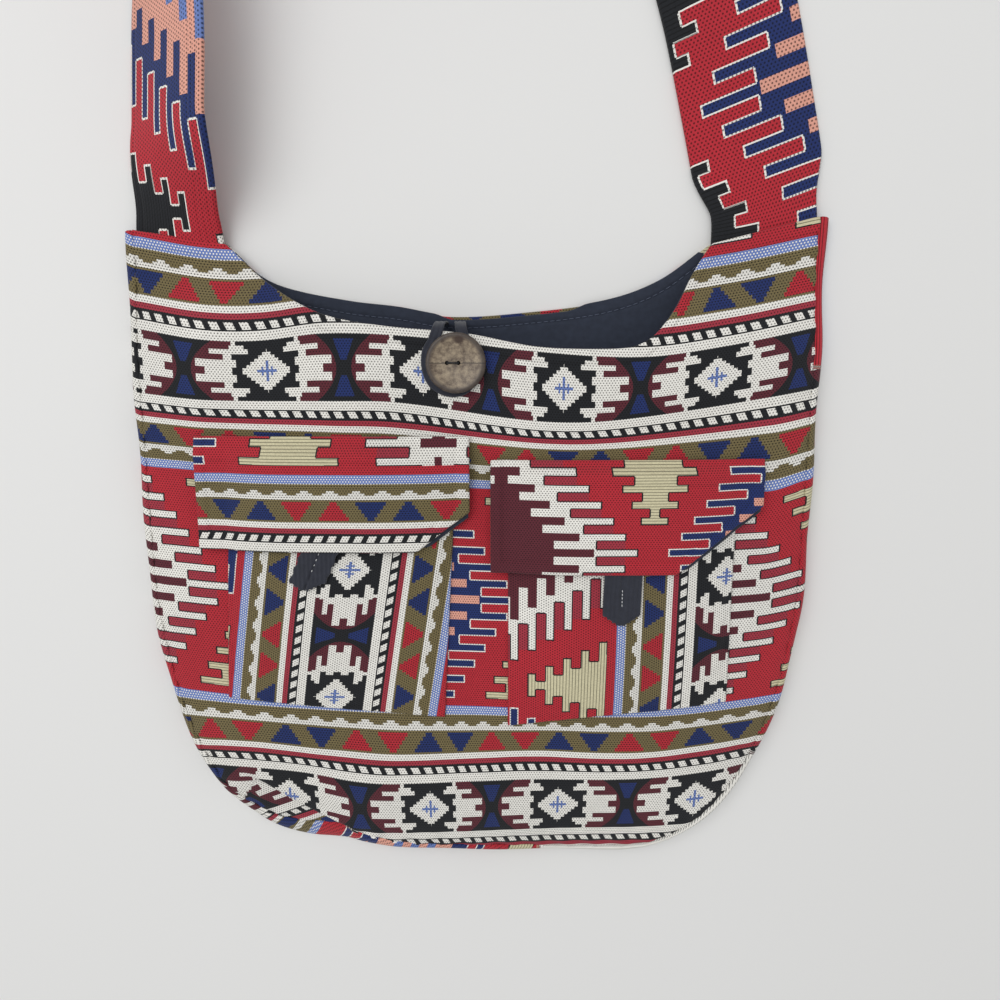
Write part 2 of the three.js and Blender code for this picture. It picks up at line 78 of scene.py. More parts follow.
bpy.ops.object.select_all(action="DESELECT")
bpy.ops.mesh.primitive_plane_add(size=floor_size, location=(0, 0, floor_level))
floor = bpy.context.object
floor.name = "floor"
floor_material, _, floor_shader = new_material("floor")
floor_shader.inputs["Base Color"].default_value = floor_colour
floor_shader.inputs["Roughness"].default_value = 0.9
floor.data.materials.append(floor_material)

world = bpy.data.worlds.new("sky")
world.use_nodes = True
world.node_tree.nodes["Background"].inputs["Color"].default_value = (1, 1, 1, 1)
world.node_tree.nodes["Background"].inputs["Strength"].default_value = sky_strength
bpy.context.scene.world = world

lamp_data = bpy.data.lights.new("soft_lamp", "AREA")
lamp_data.energy = lamp_power
lamp_data.size = lamp_size
lamp = bpy.data.objects.new("soft_lamp", lamp_data)
lamp.location = lamp_place
lamp.rotation_euler = (Vector((0, 0, 0)) - Vector(lamp_place)).to_track_quat("-Z", "Y").to_euler()
bpy.context.scene.collection.objects.link(lamp)

# ---- Front panel: one cut of kilim-patterned jacquard cotton with a hemmed mouth and two horns. ----
# It is sewn to the gusset round the sides and the bottom, and puckers a little along that seam.
# Lengths are in millimetres from the middle of the bottom seam, and each mesh is placed in metres.
back_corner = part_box("back_panel")[0]
seam_half_width = 184.0
place_x = back_corner[0] * 1000 + seam_half_width
place_y = back_corner[1] * 1000
gap = 0.3
floor_clearance = 0.02
cloth_thickness = 1.5
lining_thickness = 0.6
strap_thickness = 3.7
horn_height = 351.0
corner_width = 97.0
corner_height = 185.0
corner_power = 2.15
left_horn_width = 49.0
right_horn_width = 57.0
left_horn_rise = 7.0
right_horn_rise = 14.0
crown_height = 23.0
seam_level = 13.0
bottom_fall = 90.0
left_inner = left_horn_width - seam_half_width
right_inner = seam_half_width - right_horn_width
horn_fall_start = horn_height - 43
front_mouth_sag = 56.0
hem_width = 8.0
front_mouth_shape = [(0, 0), (0.08, 0.34), (0.2, 0.66), (0.32, 0.78), (0.5, 0.86), (0.64, 0.98), (0.78, 1),
                     (0.84, 0.97), (0.88, 0.86), (0.92, 0.62), (0.96, 0.3), (1, 0)]
tuck_place = (-92.0, 4.0)
tuck_reach = 34.0
tuck_depth = 13.0
crease_middle = (-100.3, 30.3)
crease_drop = 7.0
crease_start = np.array((-133.0, 49.0))
crease_end = np.array((-58.0, 2.0))


def joined(*axes):
    """Points from their axes."""
    return np.stack(np.broadcast_arrays(*axes), axis=-1)


def ridge(distance, width):
    """1 where distance is 0, falling to 0 within about twice the width."""
    return np.exp(-((distance / width) ** 2))


def ease(start, end, value):
    """A soft step from 0 at start to 1 at end."""
    share = np.clip((value - start) / (end - start), 0, 1)
    return share * share * (3 - 2 * share)


def between_ends(t, start, end, leave, arrive):
    """A cubic curve from start to end that leaves and arrives along given tangents."""
    return ((2 * t ** 3 - 3 * t ** 2 + 1) * start + (t ** 3 - 2 * t ** 2 + t) * leave
            + (3 * t ** 2 - 2 * t ** 3) * end + (t ** 3 - t ** 2) * arrive)


def curve_value(points, value):
    """A smooth curve through points (place, height), read at value."""
    places, heights = (np.array(side, float) for side in zip(*points))
    ends = np.arange(len(points))
    before, after = np.maximum(ends - 1, 0), np.minimum(ends + 1, len(points) - 1)
    slopes = (heights[after] - heights[before]) / (places[after] - places[before])
    value = np.clip(value, places[0], places[-1])
    k = np.clip(np.searchsorted(places, value, side="right") - 1, 0, len(points) - 2)
    span = places[k + 1] - places[k]
    t = (value - places[k]) / span
    return between_ends(t, heights[k], heights[k + 1], span * slopes[k], span * slopes[k + 1])


def mouth_height(x, shape, sag):
    """A mouth edge: between the horns it sags by shape, and over them it rises to the outer corners."""
    share = np.clip((x - left_inner) / (right_inner - left_inner), 0, 1)
    height = horn_height - sag * curve_value(shape, share)
    height = height + left_horn_rise * np.maximum(left_inner - x, 0) / left_horn_width
    return height + right_horn_rise * np.maximum(x - right_inner, 0) / right_horn_width


def front_mouth(x):
    return mouth_height(x, front_mouth_shape, front_mouth_sag)


def seam_reach(y):
    """Half the width between the side seams."""
    fall = np.clip((corner_height - y) / corner_height, 0, 1)
    return seam_half_width - corner_width * (1 - (1 - fall ** corner_power) ** (1 / corner_power))


def tucked(x, y):
    """The bottom left corner is drawn up and in."""
    away = np.hypot(x - tuck_place[0], y - tuck_place[1]) / tuck_reach
    pull = tuck_depth * np.exp(-away * away)
    return x + 0.3 * pull, y + 0.95 * pull


def below_crease(x, y):
    """1 where the cloth of the tucked corner lies under its crease, 0 elsewhere."""
    along = crease_end - crease_start
    length = np.linalg.norm(along)
    along = along / length
    distance = (x - crease_start[0]) * along[1] - (y - crease_start[1]) * along[0]
    travel = (x - crease_start[0]) * along[0] + (y - crease_start[1]) * along[1]
    return ease(0, 5, distance) * ease(-12, 18, travel) * (1 - ease(length - 25, length, travel))


def filled_height(x, y):
    """The front as the air and the cloth inside hold it up, without its small folds."""
    horn_level = 2 * cloth_thickness + strap_thickness + 2 * gap
    edge = seam_level + (horn_level - seam_level) * ease(horn_fall_start - 15, horn_height - 12, y)
    across = 1 - np.clip(np.abs(x) / seam_reach(np.maximum(y, 0)), 0, 1) ** 4
    up = 1 - (1 - np.clip(y / bottom_fall, 0, 1)) ** 3
    return edge + (crown_height - edge) * across * up * (1 - ease(horn_fall_start, horn_height - 10, y))


def soft_folds(x, y):
    left = 1.6 * ridge(x + 160 - 0.05 * y, 11) * ease(205, 250, y) * (1 - ease(290, 340, y))
    right = 1.5 * ridge(x - 168 + 0.12 * (y - 260), 12) * ease(215, 260, y) * (1 - ease(300, 345, y))
    bottom = 1.4 * ridge(y - 46 - 0.06 * x, 12) * (1 - np.clip(np.abs(x) / 150, 0, 1) ** 4)
    return left + right + bottom


def creases(x, y, size, seed):
    """Slight unevenness of laid cloth, from -1 to 1, with bumps about size across."""
    flat = np.stack([np.ravel(x) / size, np.ravel(y) / size], axis=1)
    return np.array([noise.noise(Vector((a, b, seed))) for a, b in flat]).reshape(np.shape(x))


def front_height(x, y):
    """The front's outer face, which the pockets, flaps and loop lie on."""
    laid = 0.9 * creases(x, y, 46, 3.1) + 0.3 * creases(x, y, 17, 8.7)
    settled = laid * ease(0, 60, y) * (1 - ease(horn_fall_start, horn_height, y))
    return filled_height(x, y) + soft_folds(x, y) - crease_drop * below_crease(x, y) + settled


def row_share(along):
    """Rows stand closer together near the bottom and the mouth."""
    return along - 0.78 * np.sin(2 * np.pi * along) / (2 * np.pi)


def outline_grid(columns, rows, inset, mouth):
    """A grid over the bag's outline: its left and right edges are the side seams, its last row the mouth."""
    across, along = np.meshgrid(np.linspace(0, 1, columns), np.linspace(0, 1, rows))
    y = inset + (mouth((2 * across - 1) * (seam_half_width - inset)) - inset) * row_share(along)
    return (2 * across - 1) * (seam_reach(y - inset) - inset), y


def unit(vectors):
    return vectors / np.maximum(np.linalg.norm(vectors, axis=-1, keepdims=True), 1e-9)


def placed_piece(name, vertices, faces, material):
    """An object from vertices in the bag's own millimetres, riding on the part."""
    mesh = bpy.data.meshes.new(name)
    mesh.from_pydata(((np.array(vertices) + (place_x, place_y, 0)) / 1000).tolist(), [], faces)
    mesh.shade_smooth()
    mesh.materials.append(material)
    piece = bpy.data.objects.new(name, mesh)
    bpy.context.scene.collection.objects.link(piece)
    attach(piece, "root")
    return piece


def sewn_cloth(name, points, weave, thickness, material):
    """Closed cloth from a grid of its outer face, with a rounded raw edge and weave as its UV map."""
    rows, columns = points.shape[:2]
    normals = unit(np.cross(np.gradient(points, axis=1), np.gradient(points, axis=0)))
    inner = points - normals * thickness
    grid = np.arange(rows * columns).reshape(rows, columns)
    rim = np.concatenate([grid[0, :-1], grid[:-1, -1], grid[-1, :0:-1], grid[:0:-1, 0]])
    flat_outer, flat_inner = points.reshape(-1, 3), inner.reshape(-1, 3)
    tangent = np.roll(flat_outer[rim], -1, axis=0) - np.roll(flat_outer[rim], 1, axis=0)
    outward = unit(np.cross(tangent, normals.reshape(-1, 3)[rim]))
    middle = (flat_outer[rim] + flat_inner[rim]) / 2 + outward * thickness * 0.4
    count = rows * columns
    vertices = np.concatenate([flat_outer, flat_inner, middle])
    a, b, c, d = grid[:-1, :-1].ravel(), grid[:-1, 1:].ravel(), grid[1:, 1:].ravel(), grid[1:, :-1].ravel()
    ring = 2 * count + np.arange(len(rim))
    rim_next, ring_next = np.roll(rim, -1), np.roll(ring, -1)
    faces = np.concatenate([
        np.stack([a, b, c, d], axis=1), np.stack([a, d, c, b], axis=1) + count,
        np.stack([rim, ring, ring_next, rim_next], axis=1),
        np.stack([ring, rim + count, rim_next + count, ring_next], axis=1)])
    vertices[:, 2] = np.maximum(vertices[:, 2], floor_clearance)
    piece = placed_piece(name, vertices, faces.tolist(), material)

    # The weave runs on over the raw edge, so that its marks don't stretch there
    flat_weave = weave.reshape(-1, 2)
    rim_rows, rim_columns = np.divmod(rim, columns)
    inside = grid[np.clip(rim_rows, 1, rows - 2), np.clip(rim_columns, 1, columns - 2)]
    run = np.maximum(np.linalg.norm(flat_outer[rim] - flat_outer[inside], axis=1, keepdims=True), 0.05)
    ring_weave = flat_weave[rim] + (flat_weave[rim] - flat_weave[inside]) / run * thickness * 0.6
    per_vertex = np.concatenate([flat_weave, flat_weave, ring_weave])
    weave_map = piece.data.uv_layers.new(name="weave")
    weave_map.data.foreach_set("uv", per_vertex[faces.ravel()].ravel())
    return piece


class Number:
    """A value in a material's nodes. Arithmetic on it adds Math nodes."""

    def __init__(self, tree, socket):
        self.tree = tree
        self.socket = socket

    def step(self, operation, *others):
        node = self.tree.nodes.new("ShaderNodeMath")
        node.operation = operation
        self.tree.links.new(self.socket, node.inputs[0])
        for place, other in enumerate(others, 1):
            if isinstance(other, Number):
                self.tree.links.new(other.socket, node.inputs[place])
            else:
                node.inputs[place].default_value = other
        return Number(self.tree, node.outputs[0])

    __add__ = __radd__ = partialmethod(step, "ADD")
    __sub__ = partialmethod(step, "SUBTRACT")
    __rsub__ = partialmethod(step, "MULTIPLY_ADD", -1.0)
    __mul__ = __rmul__ = partialmethod(step, "MULTIPLY")
    __lt__ = partialmethod(step, "LESS_THAN")
    __gt__ = partialmethod(step, "GREATER_THAN")
    __or__ = partialmethod(step, "MAXIMUM")
    size = partialmethod(step, "ABSOLUTE")
    floor = partialmethod(step, "FLOOR")
    part = partialmethod(step, "FRACT")

    def held(self, highest):
        """The value kept between 0 and highest."""
        return self.step("MAXIMUM", 0.0).step("MINIMUM", highest)


def dyed(red, green, blue):
    """A colour written as on a dye card, from 0 to 255, as a shader takes it."""
    def linear(value):
        value /= 255
        return value / 12.92 if value <= 0.04045 else ((value + 0.055) / 1.055) ** 2.4
    return (linear(red), linear(green), linear(blue), 1)


def axes_of(tree, vector):
    """The axes of a vector, each as a Number."""
    node = tree.nodes.new("ShaderNodeSeparateXYZ")
    tree.links.new(vector, node.inputs[0])
    return [Number(tree, output) for output in node.outputs]


def object_place(tree):
    return tree.nodes.new("ShaderNodeTexCoord").outputs["Object"]


def noise_value(tree, vector, scale, detail, roughness=0.5):
    node = tree.nodes.new("ShaderNodeTexNoise")
    for socket, value in (("Scale", scale), ("Detail", detail), ("Roughness", roughness)):
        node.inputs[socket].default_value = value
    tree.links.new(vector, node.inputs["Vector"])
    return Number(tree, node.outputs[0])


def painted(colour, *layers):
    """The colour with layers (dye, mask) over it, each where its mask is 1."""
    for dye, mask in layers:
        node = mask.tree.nodes.new("ShaderNodeMix")
        node.data_type = "RGBA"
        node.inputs[7].default_value = dye
        mask.tree.links.new(mask.socket, node.inputs[0])
        mask.tree.links.new(colour, node.inputs[6])
        colour = node.outputs[2]
    return colour


def stepped_ramp(value, steps):
    """A lookup of colours that changes at once at each place."""
    node = value.tree.nodes.new("ShaderNodeValToRGB")
    ramp = node.color_ramp
    ramp.interpolation = "CONSTANT"
    for place, colour in steps[1:]:
        ramp.elements.new(place).color = colour
    ramp.elements[0].color = steps[0][1]
    if ramp.elements[-1].position > steps[-1][0] + 1e-6:
        ramp.elements[-1].color = steps[-1][1]
    value.tree.links.new(value.socket, node.inputs[0])
    return node.outputs[0]


def toned(shader, colour, bright, looks):
    """The shader's colour scaled by bright, and its other looks as constants."""
    tree = bright.tree
    node = tree.nodes.new("ShaderNodeVectorMath")
    node.operation = "SCALE"
    if isinstance(colour, tuple):
        node.inputs[0].default_value = colour[:3]
    else:
        tree.links.new(colour, node.inputs[0])
    tree.links.new(bright.socket, node.inputs[3])
    tree.links.new(node.outputs[0], shader.inputs["Base Color"])
    for socket, value in looks.items():
        shader.inputs[socket].default_value = value


def bumped(shader, height, strength, distance):
    """The shader's surface raised by height."""
    tree = height.tree
    node = tree.nodes.new("ShaderNodeBump")
    node.inputs["Strength"].default_value = strength
    node.inputs["Distance"].default_value = distance
    tree.links.new(height.socket, node.inputs["Height"])
    tree.links.new(node.outputs[0], shader.inputs["Normal"])


red = dyed(182, 42, 54)
crimson = dyed(160, 52, 66)
maroon = dyed(92, 38, 48)
black = dyed(28, 30, 34)
white = dyed(236, 234, 227)
light_blue = dyed(104, 126, 186)
navy = dyed(32, 48, 102)
olive = dyed(118, 106, 72)
cream = dyed(206, 199, 165)
salmon = dyed(222, 160, 142)

half_repeat = 128.15
band_half = 17.5
first_white = 19.9
dash_line = 25.0
second_white = 32.6
olive_start = 34.5
scallop_foot = 47.5
blue_start = 56.3
field_edge = 61.5
triangle_step = 20.5
line_half = 0.42
warp_step = 1.6
weft_step = 1.3
figure_repeat = 82.0
medallion_middle = -16.5
row_height = (half_repeat - field_edge) / 13.5
strap_start = 700.0

kilim, tree, shader = new_material("kilim_cloth")
weave_uv = tree.nodes.new("ShaderNodeUVMap")
weave_uv.uv_map = "weave"
u, v = axes_of(tree, weave_uv.outputs[0])[:2]
c = v.step("PINGPONG", half_repeat)  # distance from the middle of the nearest figured band

# The plain stripes, from the middle of the figured band to the middle of the field
stripe_steps = [(0, black), (band_half, white), (22.3, black), (27.7, crimson), (30.7, white),
                (olive_start, olive), (scallop_foot, white), (49.8, olive), (blue_start, light_blue),
                (field_edge, red)]
colour = stepped_ramp(c * (1 / half_repeat), [(place / half_repeat, dye) for place, dye in stripe_steps])

# Slanted white dashes, stepped triangles and the scalloped edge
dash = ((u + v * 0.5) * (1 / 7.4)).part() < 0.58
height = (c - 35.6) * (1 / 10.8)
level = (height * 5.0).floor() * 0.25
turn = (u * (1 / triangle_step) + 0.5).floor()
kind = turn.step("FLOORED_MODULO", 4.0)
based = (kind * 0.5).part() < 0.25
half_width = (2.0 + level * 6.3) + based * (6.3 - level * 12.6)
triangle = ((u - turn * triangle_step).size() < half_width) * (height > 0.0) * (height < 1.0)
scallop = ((u * (1 / 14.3)).part() - 0.5).size()
scallop_edge = (scallop < 0.31) * 1.4 + (scallop < 0.15) * 1.4 + 49.8
colour = painted(colour, (white, dash * ((c - dash_line).size() < 1.75)), (navy, triangle),
                 (red, triangle * (kind > 1.5)), (white, (c > scallop_foot) * (c < scallop_edge)))

# The figured band: stepped diamonds, flames round them and hourglasses between
p = u.step("PINGPONG", figure_repeat / 2)  # distance from the middle of the nearest diamond
in_band = c < band_half
flame_scale = 50.0
flame_rows = [(0, 17, 30), (2.2, 15, 34.6), (6.5, 17, 21), (10, 9, 27.5), (12.8, 11, 18), (15, 15, 17)]
flame = stepped_ramp(c * (1 / band_half), [(place / band_half, (inner / flame_scale, outer / flame_scale, 0, 1))
                                           for place, inner, outer in flame_rows])
flame_inner, flame_outer = (reach * flame_scale for reach in axes_of(tree, flame)[:2])
waist = 37.0 - c * c * 0.035
blob = (figure_repeat / 2 - p) < (c * 0.35 + 0.1)
diamond_row = (c * (1 / 1.8)).floor() * 1.8
cross = ((p < 0.7) * (c < 6.0)) | ((c < 0.8) * (p < 5.0)) | (((p - 2.4).size() < 0.5) * (c < 2.6))
colour = painted(colour, (maroon, in_band * (p > flame_outer) * (p < waist)),
                 (white, in_band * (p > flame_inner) * (p < flame_outer)), (navy, blob * (c > 4.0) * (c < 15.0)),
                 (white, in_band * (p < (12.0 - diamond_row * 1.1))), (light_blue, cross))

# The field: combed medallions of two kinds in turn, and ribbed trees between them
f = half_repeat - c  # distance from the middle of the field
row_place = f * (1 / row_height) + 0.5
i = row_place.floor()  # row of the comb, counted from the middle of the field
in_row = row_place.part()
row_rim = (in_row - 0.5).size() > 0.37
near_low = in_row < 0.5
even = (i * 0.5).part() < 0.25
m_all = (u - medallion_middle).step("PINGPONG", 2 * figure_repeat)
second = m_all > figure_repeat
m = m_all.step("MINIMUM", 2 * figure_repeat - m_all)  # distance from the middle of the nearest medallion
in_field = (c > field_edge) * (i < 12.5)
short_tip = 54.7 - i * 3.55
long_tip = 73.5 - i * 3.35
tip = short_tip + even * (long_tip - short_tip)
comb = in_field * (m < tip)
between_tines = in_field * (m > short_tip) * (m < (long_tip - 3.35)) * (1.0 - even)
core_reach = (31.5 - i * 3.1) + even * (18.5 - i * 0.9)
core = in_field * (m < core_reach)
tine_side = (m > (short_tip + near_low * 7.1 - 3.55)) * (m < long_tip) * row_rim * even
comb_line = in_field * (((m - tip).size() < line_half) | tine_side)
colour = painted(colour, (navy, comb), (white, comb * second), (crimson, between_tines * second), (salmon, core),
                 (light_blue, in_field * (m < (core_reach - 26.0))), (maroon, core * second), (white, comb_line),
                 (black, comb_line * second))
t = (m_all - figure_repeat).size()  # distance from the middle of the nearest tree
tree_rows = (c > field_edge) * (i > 3.5) * (i < 12.5)
short_branch = i * 2.2 - 8.4
long_branch = i * 2.6 - 3.2
branch = short_branch + even * (long_branch - short_branch)
on_strap = u > strap_start
ribbed = tree_rows * (t < branch)
branch_side = (t > (short_branch - near_low * 4.4 + 2.2)) * (t < long_branch) * row_rim * even
tree_end = (t < branch) * (((i > 11.5) * (in_row > 0.92)) | ((i < 4.5) * (in_row < 0.08)))
tree_line = tree_rows * (((t - branch).size() < line_half) | branch_side | tree_end)
colour = painted(colour, (cream, ribbed), (black, ribbed * on_strap), (black, tree_line),
                 (white, tree_line * on_strap))

# Thread marks: small dark gaps set like bricks, ribs in the cream, white pips on the blue stripe
pick = v * (1 / weft_step)
side = ((u * (1 / warp_step) + pick.floor() * 0.5).part() - 0.5) * warp_step
rise = (pick.part() - 0.5) * weft_step
from_gap = side * side + rise * rise
speck = from_gap < 0.15
on_blue = (c > blue_start) * (c < field_edge)
colour = painted(colour, (white, speck * on_blue))
rib = (v * (1 / 1.75)).part() < 0.26
fine_line = (v * (1 / 1.1)).part() < 0.34
on_olive = (c > olive_start) * (c < blue_start)
dimmed = (speck * (1.0 - on_blue) * (1.0 - ribbed)) * 0.74 + ribbed * rib * 0.66 + on_olive * fine_line * 0.22
fibre = noise_value(tree, object_place(tree), 900, 3)
bright = fibre * 0.5 + noise_value(tree, object_place(tree), 14, 4) * 0.25 + 0.63
toned(shader, colour, bright * (1.0 - dimmed), {"Roughness": 0.86, "Specular IOR Level": 0.3, "Sheen Weight": 0.08})
bumped(shader, from_gap.step("MINIMUM", 0.5) + fibre * 0.3, 0.55, 0.0004)

# Where the stripes of the front run, from the left seam to the right one
upper_stripe = [(-184, 309), (-145, 302.5), (-115, 302), (-79, 306), (-30, 304), (29, 296.9), (89, 293.5),
                (135, 299.5), (184, 309.5)]
lower_stripe = [(-184, 270), (-148, 266.6), (-80, 265.7), (-43, 265.1), (29, 255.3), (63, 254.6), (112, 260.5),
                (184, 272)]
field_top = [(-184, 232), (-157, 230.5), (0, 221), (160, 218.2), (184, 224)]
field_bottom = [(-184, 102.2), (-148, 100), (-13, 94.8), (100, 92.5), (184, 98)]
low_stripe = [(-184, 66), (-136, 68.5), (-87, 65.3), (-46, 62), (28, 65), (88, 63), (130, 66), (184, 71)]
low_band = [(-184, 36), (-104, 35.5), (-70, 27.9), (-31, 27.9), (48, 31.4), (124, 32), (184, 37)]
figure_places = [(-198, -164), (-157, -123), (-111, -82), (-70, -41), (-28, 0), (8, 41), (47, 82), (88, 123),
                 (129, 164), (175, 205), (220, 246)]
top_stretch = 1.12
fold_turn = math.radians(25)
fold_phase = (-87, -276.3)


def front_weave(x, y):
    """Cloth coordinates on the front: along the stripes, and across them from the upper figured band."""
    lines = [(low_band, -2 * half_repeat), (low_stripe, second_white - 2 * half_repeat),
             (field_bottom, field_edge - 2 * half_repeat), (field_top, -field_edge),
             (lower_stripe, -first_white), (upper_stripe, first_white)]
    heights = np.array([curve_value(line, x) for line, _ in lines])
    across = (y - heights[-1]) / top_stretch + lines[-1][1]
    for k in range(len(lines) - 1, 0, -1):
        share = (y - heights[k - 1]) / (heights[k] - heights[k - 1])
        between = lines[k - 1][1] + share * (lines[k][1] - lines[k - 1][1])
        across = np.where(y < heights[k], between, across)
    across = np.where(y < heights[0], y - heights[0] + lines[0][1], across)
    along = np.interp(x, *zip(*figure_places))
    return joined(along, across)


def folded_under(weave, x, y):
    """Below the crease of the tucked corner the cloth has turned."""
    from_x, from_y = x - crease_middle[0], y - crease_middle[1]
    along = from_x * math.cos(fold_turn) + from_y * math.sin(fold_turn)
    below = from_x * math.sin(fold_turn) - from_y * math.cos(fold_turn)
    turned = joined(along + fold_phase[0], fold_phase[1] - below)
    return np.where((below_crease(x, y) > 0.5)[..., None], turned, weave)


def seam_distance(x, y):
    return np.minimum(seam_reach(np.maximum(y, 0)) - np.abs(x), np.maximum(y, 0))


flat_x, flat_y = outline_grid(230, 190, 0, front_mouth)
from_seam = seam_distance(flat_x, flat_y)
front_x, front_y = tucked(flat_x, flat_y)
pucker = 0.55 * np.exp(-from_seam / 7) * np.sin(0.46 * (front_y + 0.8 * np.abs(front_x)))
from_mouth = front_mouth(flat_x) - flat_y
hem = 0.5 * (1 - ease(hem_width - 1.5, hem_width + 1, from_mouth)) - 0.5 * ridge(from_mouth - hem_width, 1.1)
rolled = 0.5 * ridge(from_seam, 3.2)
front_z = front_height(front_x, front_y) + pucker + hem - rolled
front_points = joined(front_x, front_y, front_z)
front_cloth = sewn_cloth("front_cloth", front_points, folded_under(front_weave(front_x, front_y), front_x, front_y),
                         cloth_thickness, kilim)
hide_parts("front_panel")

# ---- Back panel: a second cut of the same cloth, flat on the table, its mouth edge a little higher. ----
# The cloth is turned over the lining there, so that a thin line of pattern shows above it.
back_mouth_sag = 38.0
back_phase = (20, -275)
back_mouth_shape = [(0, 0), (0.06, 0.42), (0.12, 0.62), (0.25, 0.8), (0.35, 0.88), (0.46, 1), (0.62, 0.94),
                    (0.79, 0.78), (0.9, 0.5), (1, 0)]


def back_mouth(x):
    return mouth_height(x, back_mouth_shape, back_mouth_sag)


back_x, back_y = (side[:, ::-1] for side in outline_grid(180, 130, 0, back_mouth))
back_lift = 0.5 * ease(0, 14, seam_distance(back_x, back_y)) * (0.5 + 0.5 * creases(back_x, back_y, 38, 5.3))
back_points = joined(back_x, back_y, floor_clearance + back_lift)
back_weave = joined(back_phase[0] - back_x, back_phase[1] + back_y)
back_cloth = sewn_cloth("back_cloth", back_points, back_weave, cloth_thickness, kilim)
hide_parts("back_panel")

# ---- Gusset: a strip of the patterned cloth between the two panels, round both sides and the bottom. ----
# Its seam allowances are turned in, and it bulges outward a little between its two seams.
gusset_bulge = 5.0


def evenly_spaced(path, steps):
    """Points at even distances along a path, and those distances."""
    travel = np.concatenate([[0], np.cumsum(np.linalg.norm(np.diff(path, axis=0), axis=1))])
    even_travel = np.linspace(0, travel[-1], steps)
    return joined(*(np.interp(even_travel, travel, axis) for axis in path.T)), even_travel


def seam_line(mouth, inset, steps):
    """Evenly spaced points round the seam, from the left horn to the right one, and their outward directions."""
    down = np.linspace(float(mouth(inset - seam_half_width)), inset, 400)
    up = np.linspace(inset, float(mouth(seam_half_width - inset)), 400)
    bottom_half = seam_reach(0.0) - inset
    bottom = np.linspace(-bottom_half, bottom_half, 200)[1:-1]
    xs = np.concatenate([inset - seam_reach(down - inset), bottom, seam_reach(up - inset) - inset])
    ys = np.concatenate([down, np.full(198, inset), up])
    points, travel = evenly_spaced(joined(xs, ys), steps)
    along = unit(np.gradient(points, axis=0))
    return *points.T, along[:, 1], -along[:, 0], travel


def joining_strip(mouth, inset, steps, rows, bulge, top_level, bottom_level):
    """A bulging strip round the seam, from the back's level at its first row to the front's at its last."""
    x, y, out_x, out_y, travel = seam_line(mouth, inset, steps)
    angle = np.linspace(0, np.pi, rows)[:, None]
    moved_x, moved_y = tucked(x, y)
    share = (1 + np.cos(angle)) / 2
    top = top_level(moved_x, moved_y)
    reach = 0.1 + bulge * np.sin(angle) * (1 + 0.12 * np.sin(travel / 11))
    strip_x = x + (moved_x - x) * share + out_x * reach
    strip_y = y + (moved_y - y) * share + out_y * reach
    strip_z = (top + bottom_level) / 2 + (top - bottom_level) / 2 * np.cos(angle)
    return joined(strip_x, strip_y, strip_z)[::-1]


gusset_points = joining_strip(front_mouth, -0.2, 420, 16, gusset_bulge, front_height, floor_clearance)
gusset_points[..., 2] = np.maximum(gusset_points[..., 2], floor_clearance)

# The front's stripes run on over its left side, cross it at the bottom, and leave its right side red
seam_x, seam_y = gusset_points[-1, :, 0], gusset_points[-1, :, 1]
seam_weave = front_weave(seam_x, seam_y)
plain_red, white_edge = -448.8, -275.0
bottom_v = np.interp(seam_x, (-147, -111, -95, 36, 37),
                     (-2 * half_repeat, -302.3, -317.8, plain_red, white_edge))
side_v = np.where((seam_x > 0) & (seam_y > 285), plain_red, seam_weave[:, 1])
gusset_v = np.where(seam_y > np.where(seam_x < 0, 34, 60), side_v, bottom_v)
gusset_across = np.linspace(14, 0, 16)[:, None]
gusset_weave = joined(seam_weave[:, 0] + gusset_across, gusset_v - 0.4 * gusset_across)
gusset_cloth = sewn_cloth("gusset_cloth", gusset_points, gusset_weave, 1.2, kilim)
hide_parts("gusset")

# ---- Lining: dark navy plain cotton in three cuts like the outside, hung inside it. ----
# It is sewn to the mouth edges, where a line of topstitching holds it flat.
lining_inset = 2.2
strap_insert = 13.0
lining_back_level = cloth_thickness + gap + lining_thickness
lining_slack = 0.9
topstitch_drop = 5.5


def plain_cotton(name, dye, thread_size, roughness, sheen):
    """Plain dark cotton: fine crossed threads under fibre noise."""
    cotton, tree, shader = new_material(name)
    warp, weft = ((axis * (1000 / thread_size)).step("PINGPONG", 0.5)
                  for axis in axes_of(tree, object_place(tree))[:2])
    threads = warp + weft
    bright = noise_value(tree, object_place(tree), 260, 5) * 0.7 + threads * 0.3 + 0.5
    toned(shader, dye, bright, {"Roughness": roughness, "Sheen Weight": sheen, "Specular IOR Level": 0.3})
    bumped(shader, threads, 0.4, 0.0002)
    return cotton


lining_cotton = plain_cotton("lining_cotton", dyed(44, 50, 64), 0.7, 0.85, 0.12)


def lining_mouth(x):
    between_horns = ease(left_inner, left_inner + 7, x) * (1 - ease(right_inner - 7, right_inner, x))
    outer_shows = ease(-24, -12, x) * (1 - ease(50, 62, x))
    highest = horn_height - strap_insert - 2 + 20 * between_horns
    return np.minimum(back_mouth(x) + 1.2 - 2.6 * outer_shows, highest)


def lining_front_mouth(x):
    return np.minimum(front_mouth(x), horn_height - strap_insert - 2)


def lining_front_height(x, y):
    slack = 1.2 * (1 - ease(250, 290, y)) + 1.6 * ease(horn_fall_start - 14, horn_fall_start + 4, y)
    drop = crease_drop * below_crease(x - 6, y - 8)
    return filled_height(x, y) - drop - cloth_thickness - 0.6 - slack


def plain_weave(points):
    return points[..., :2].copy()


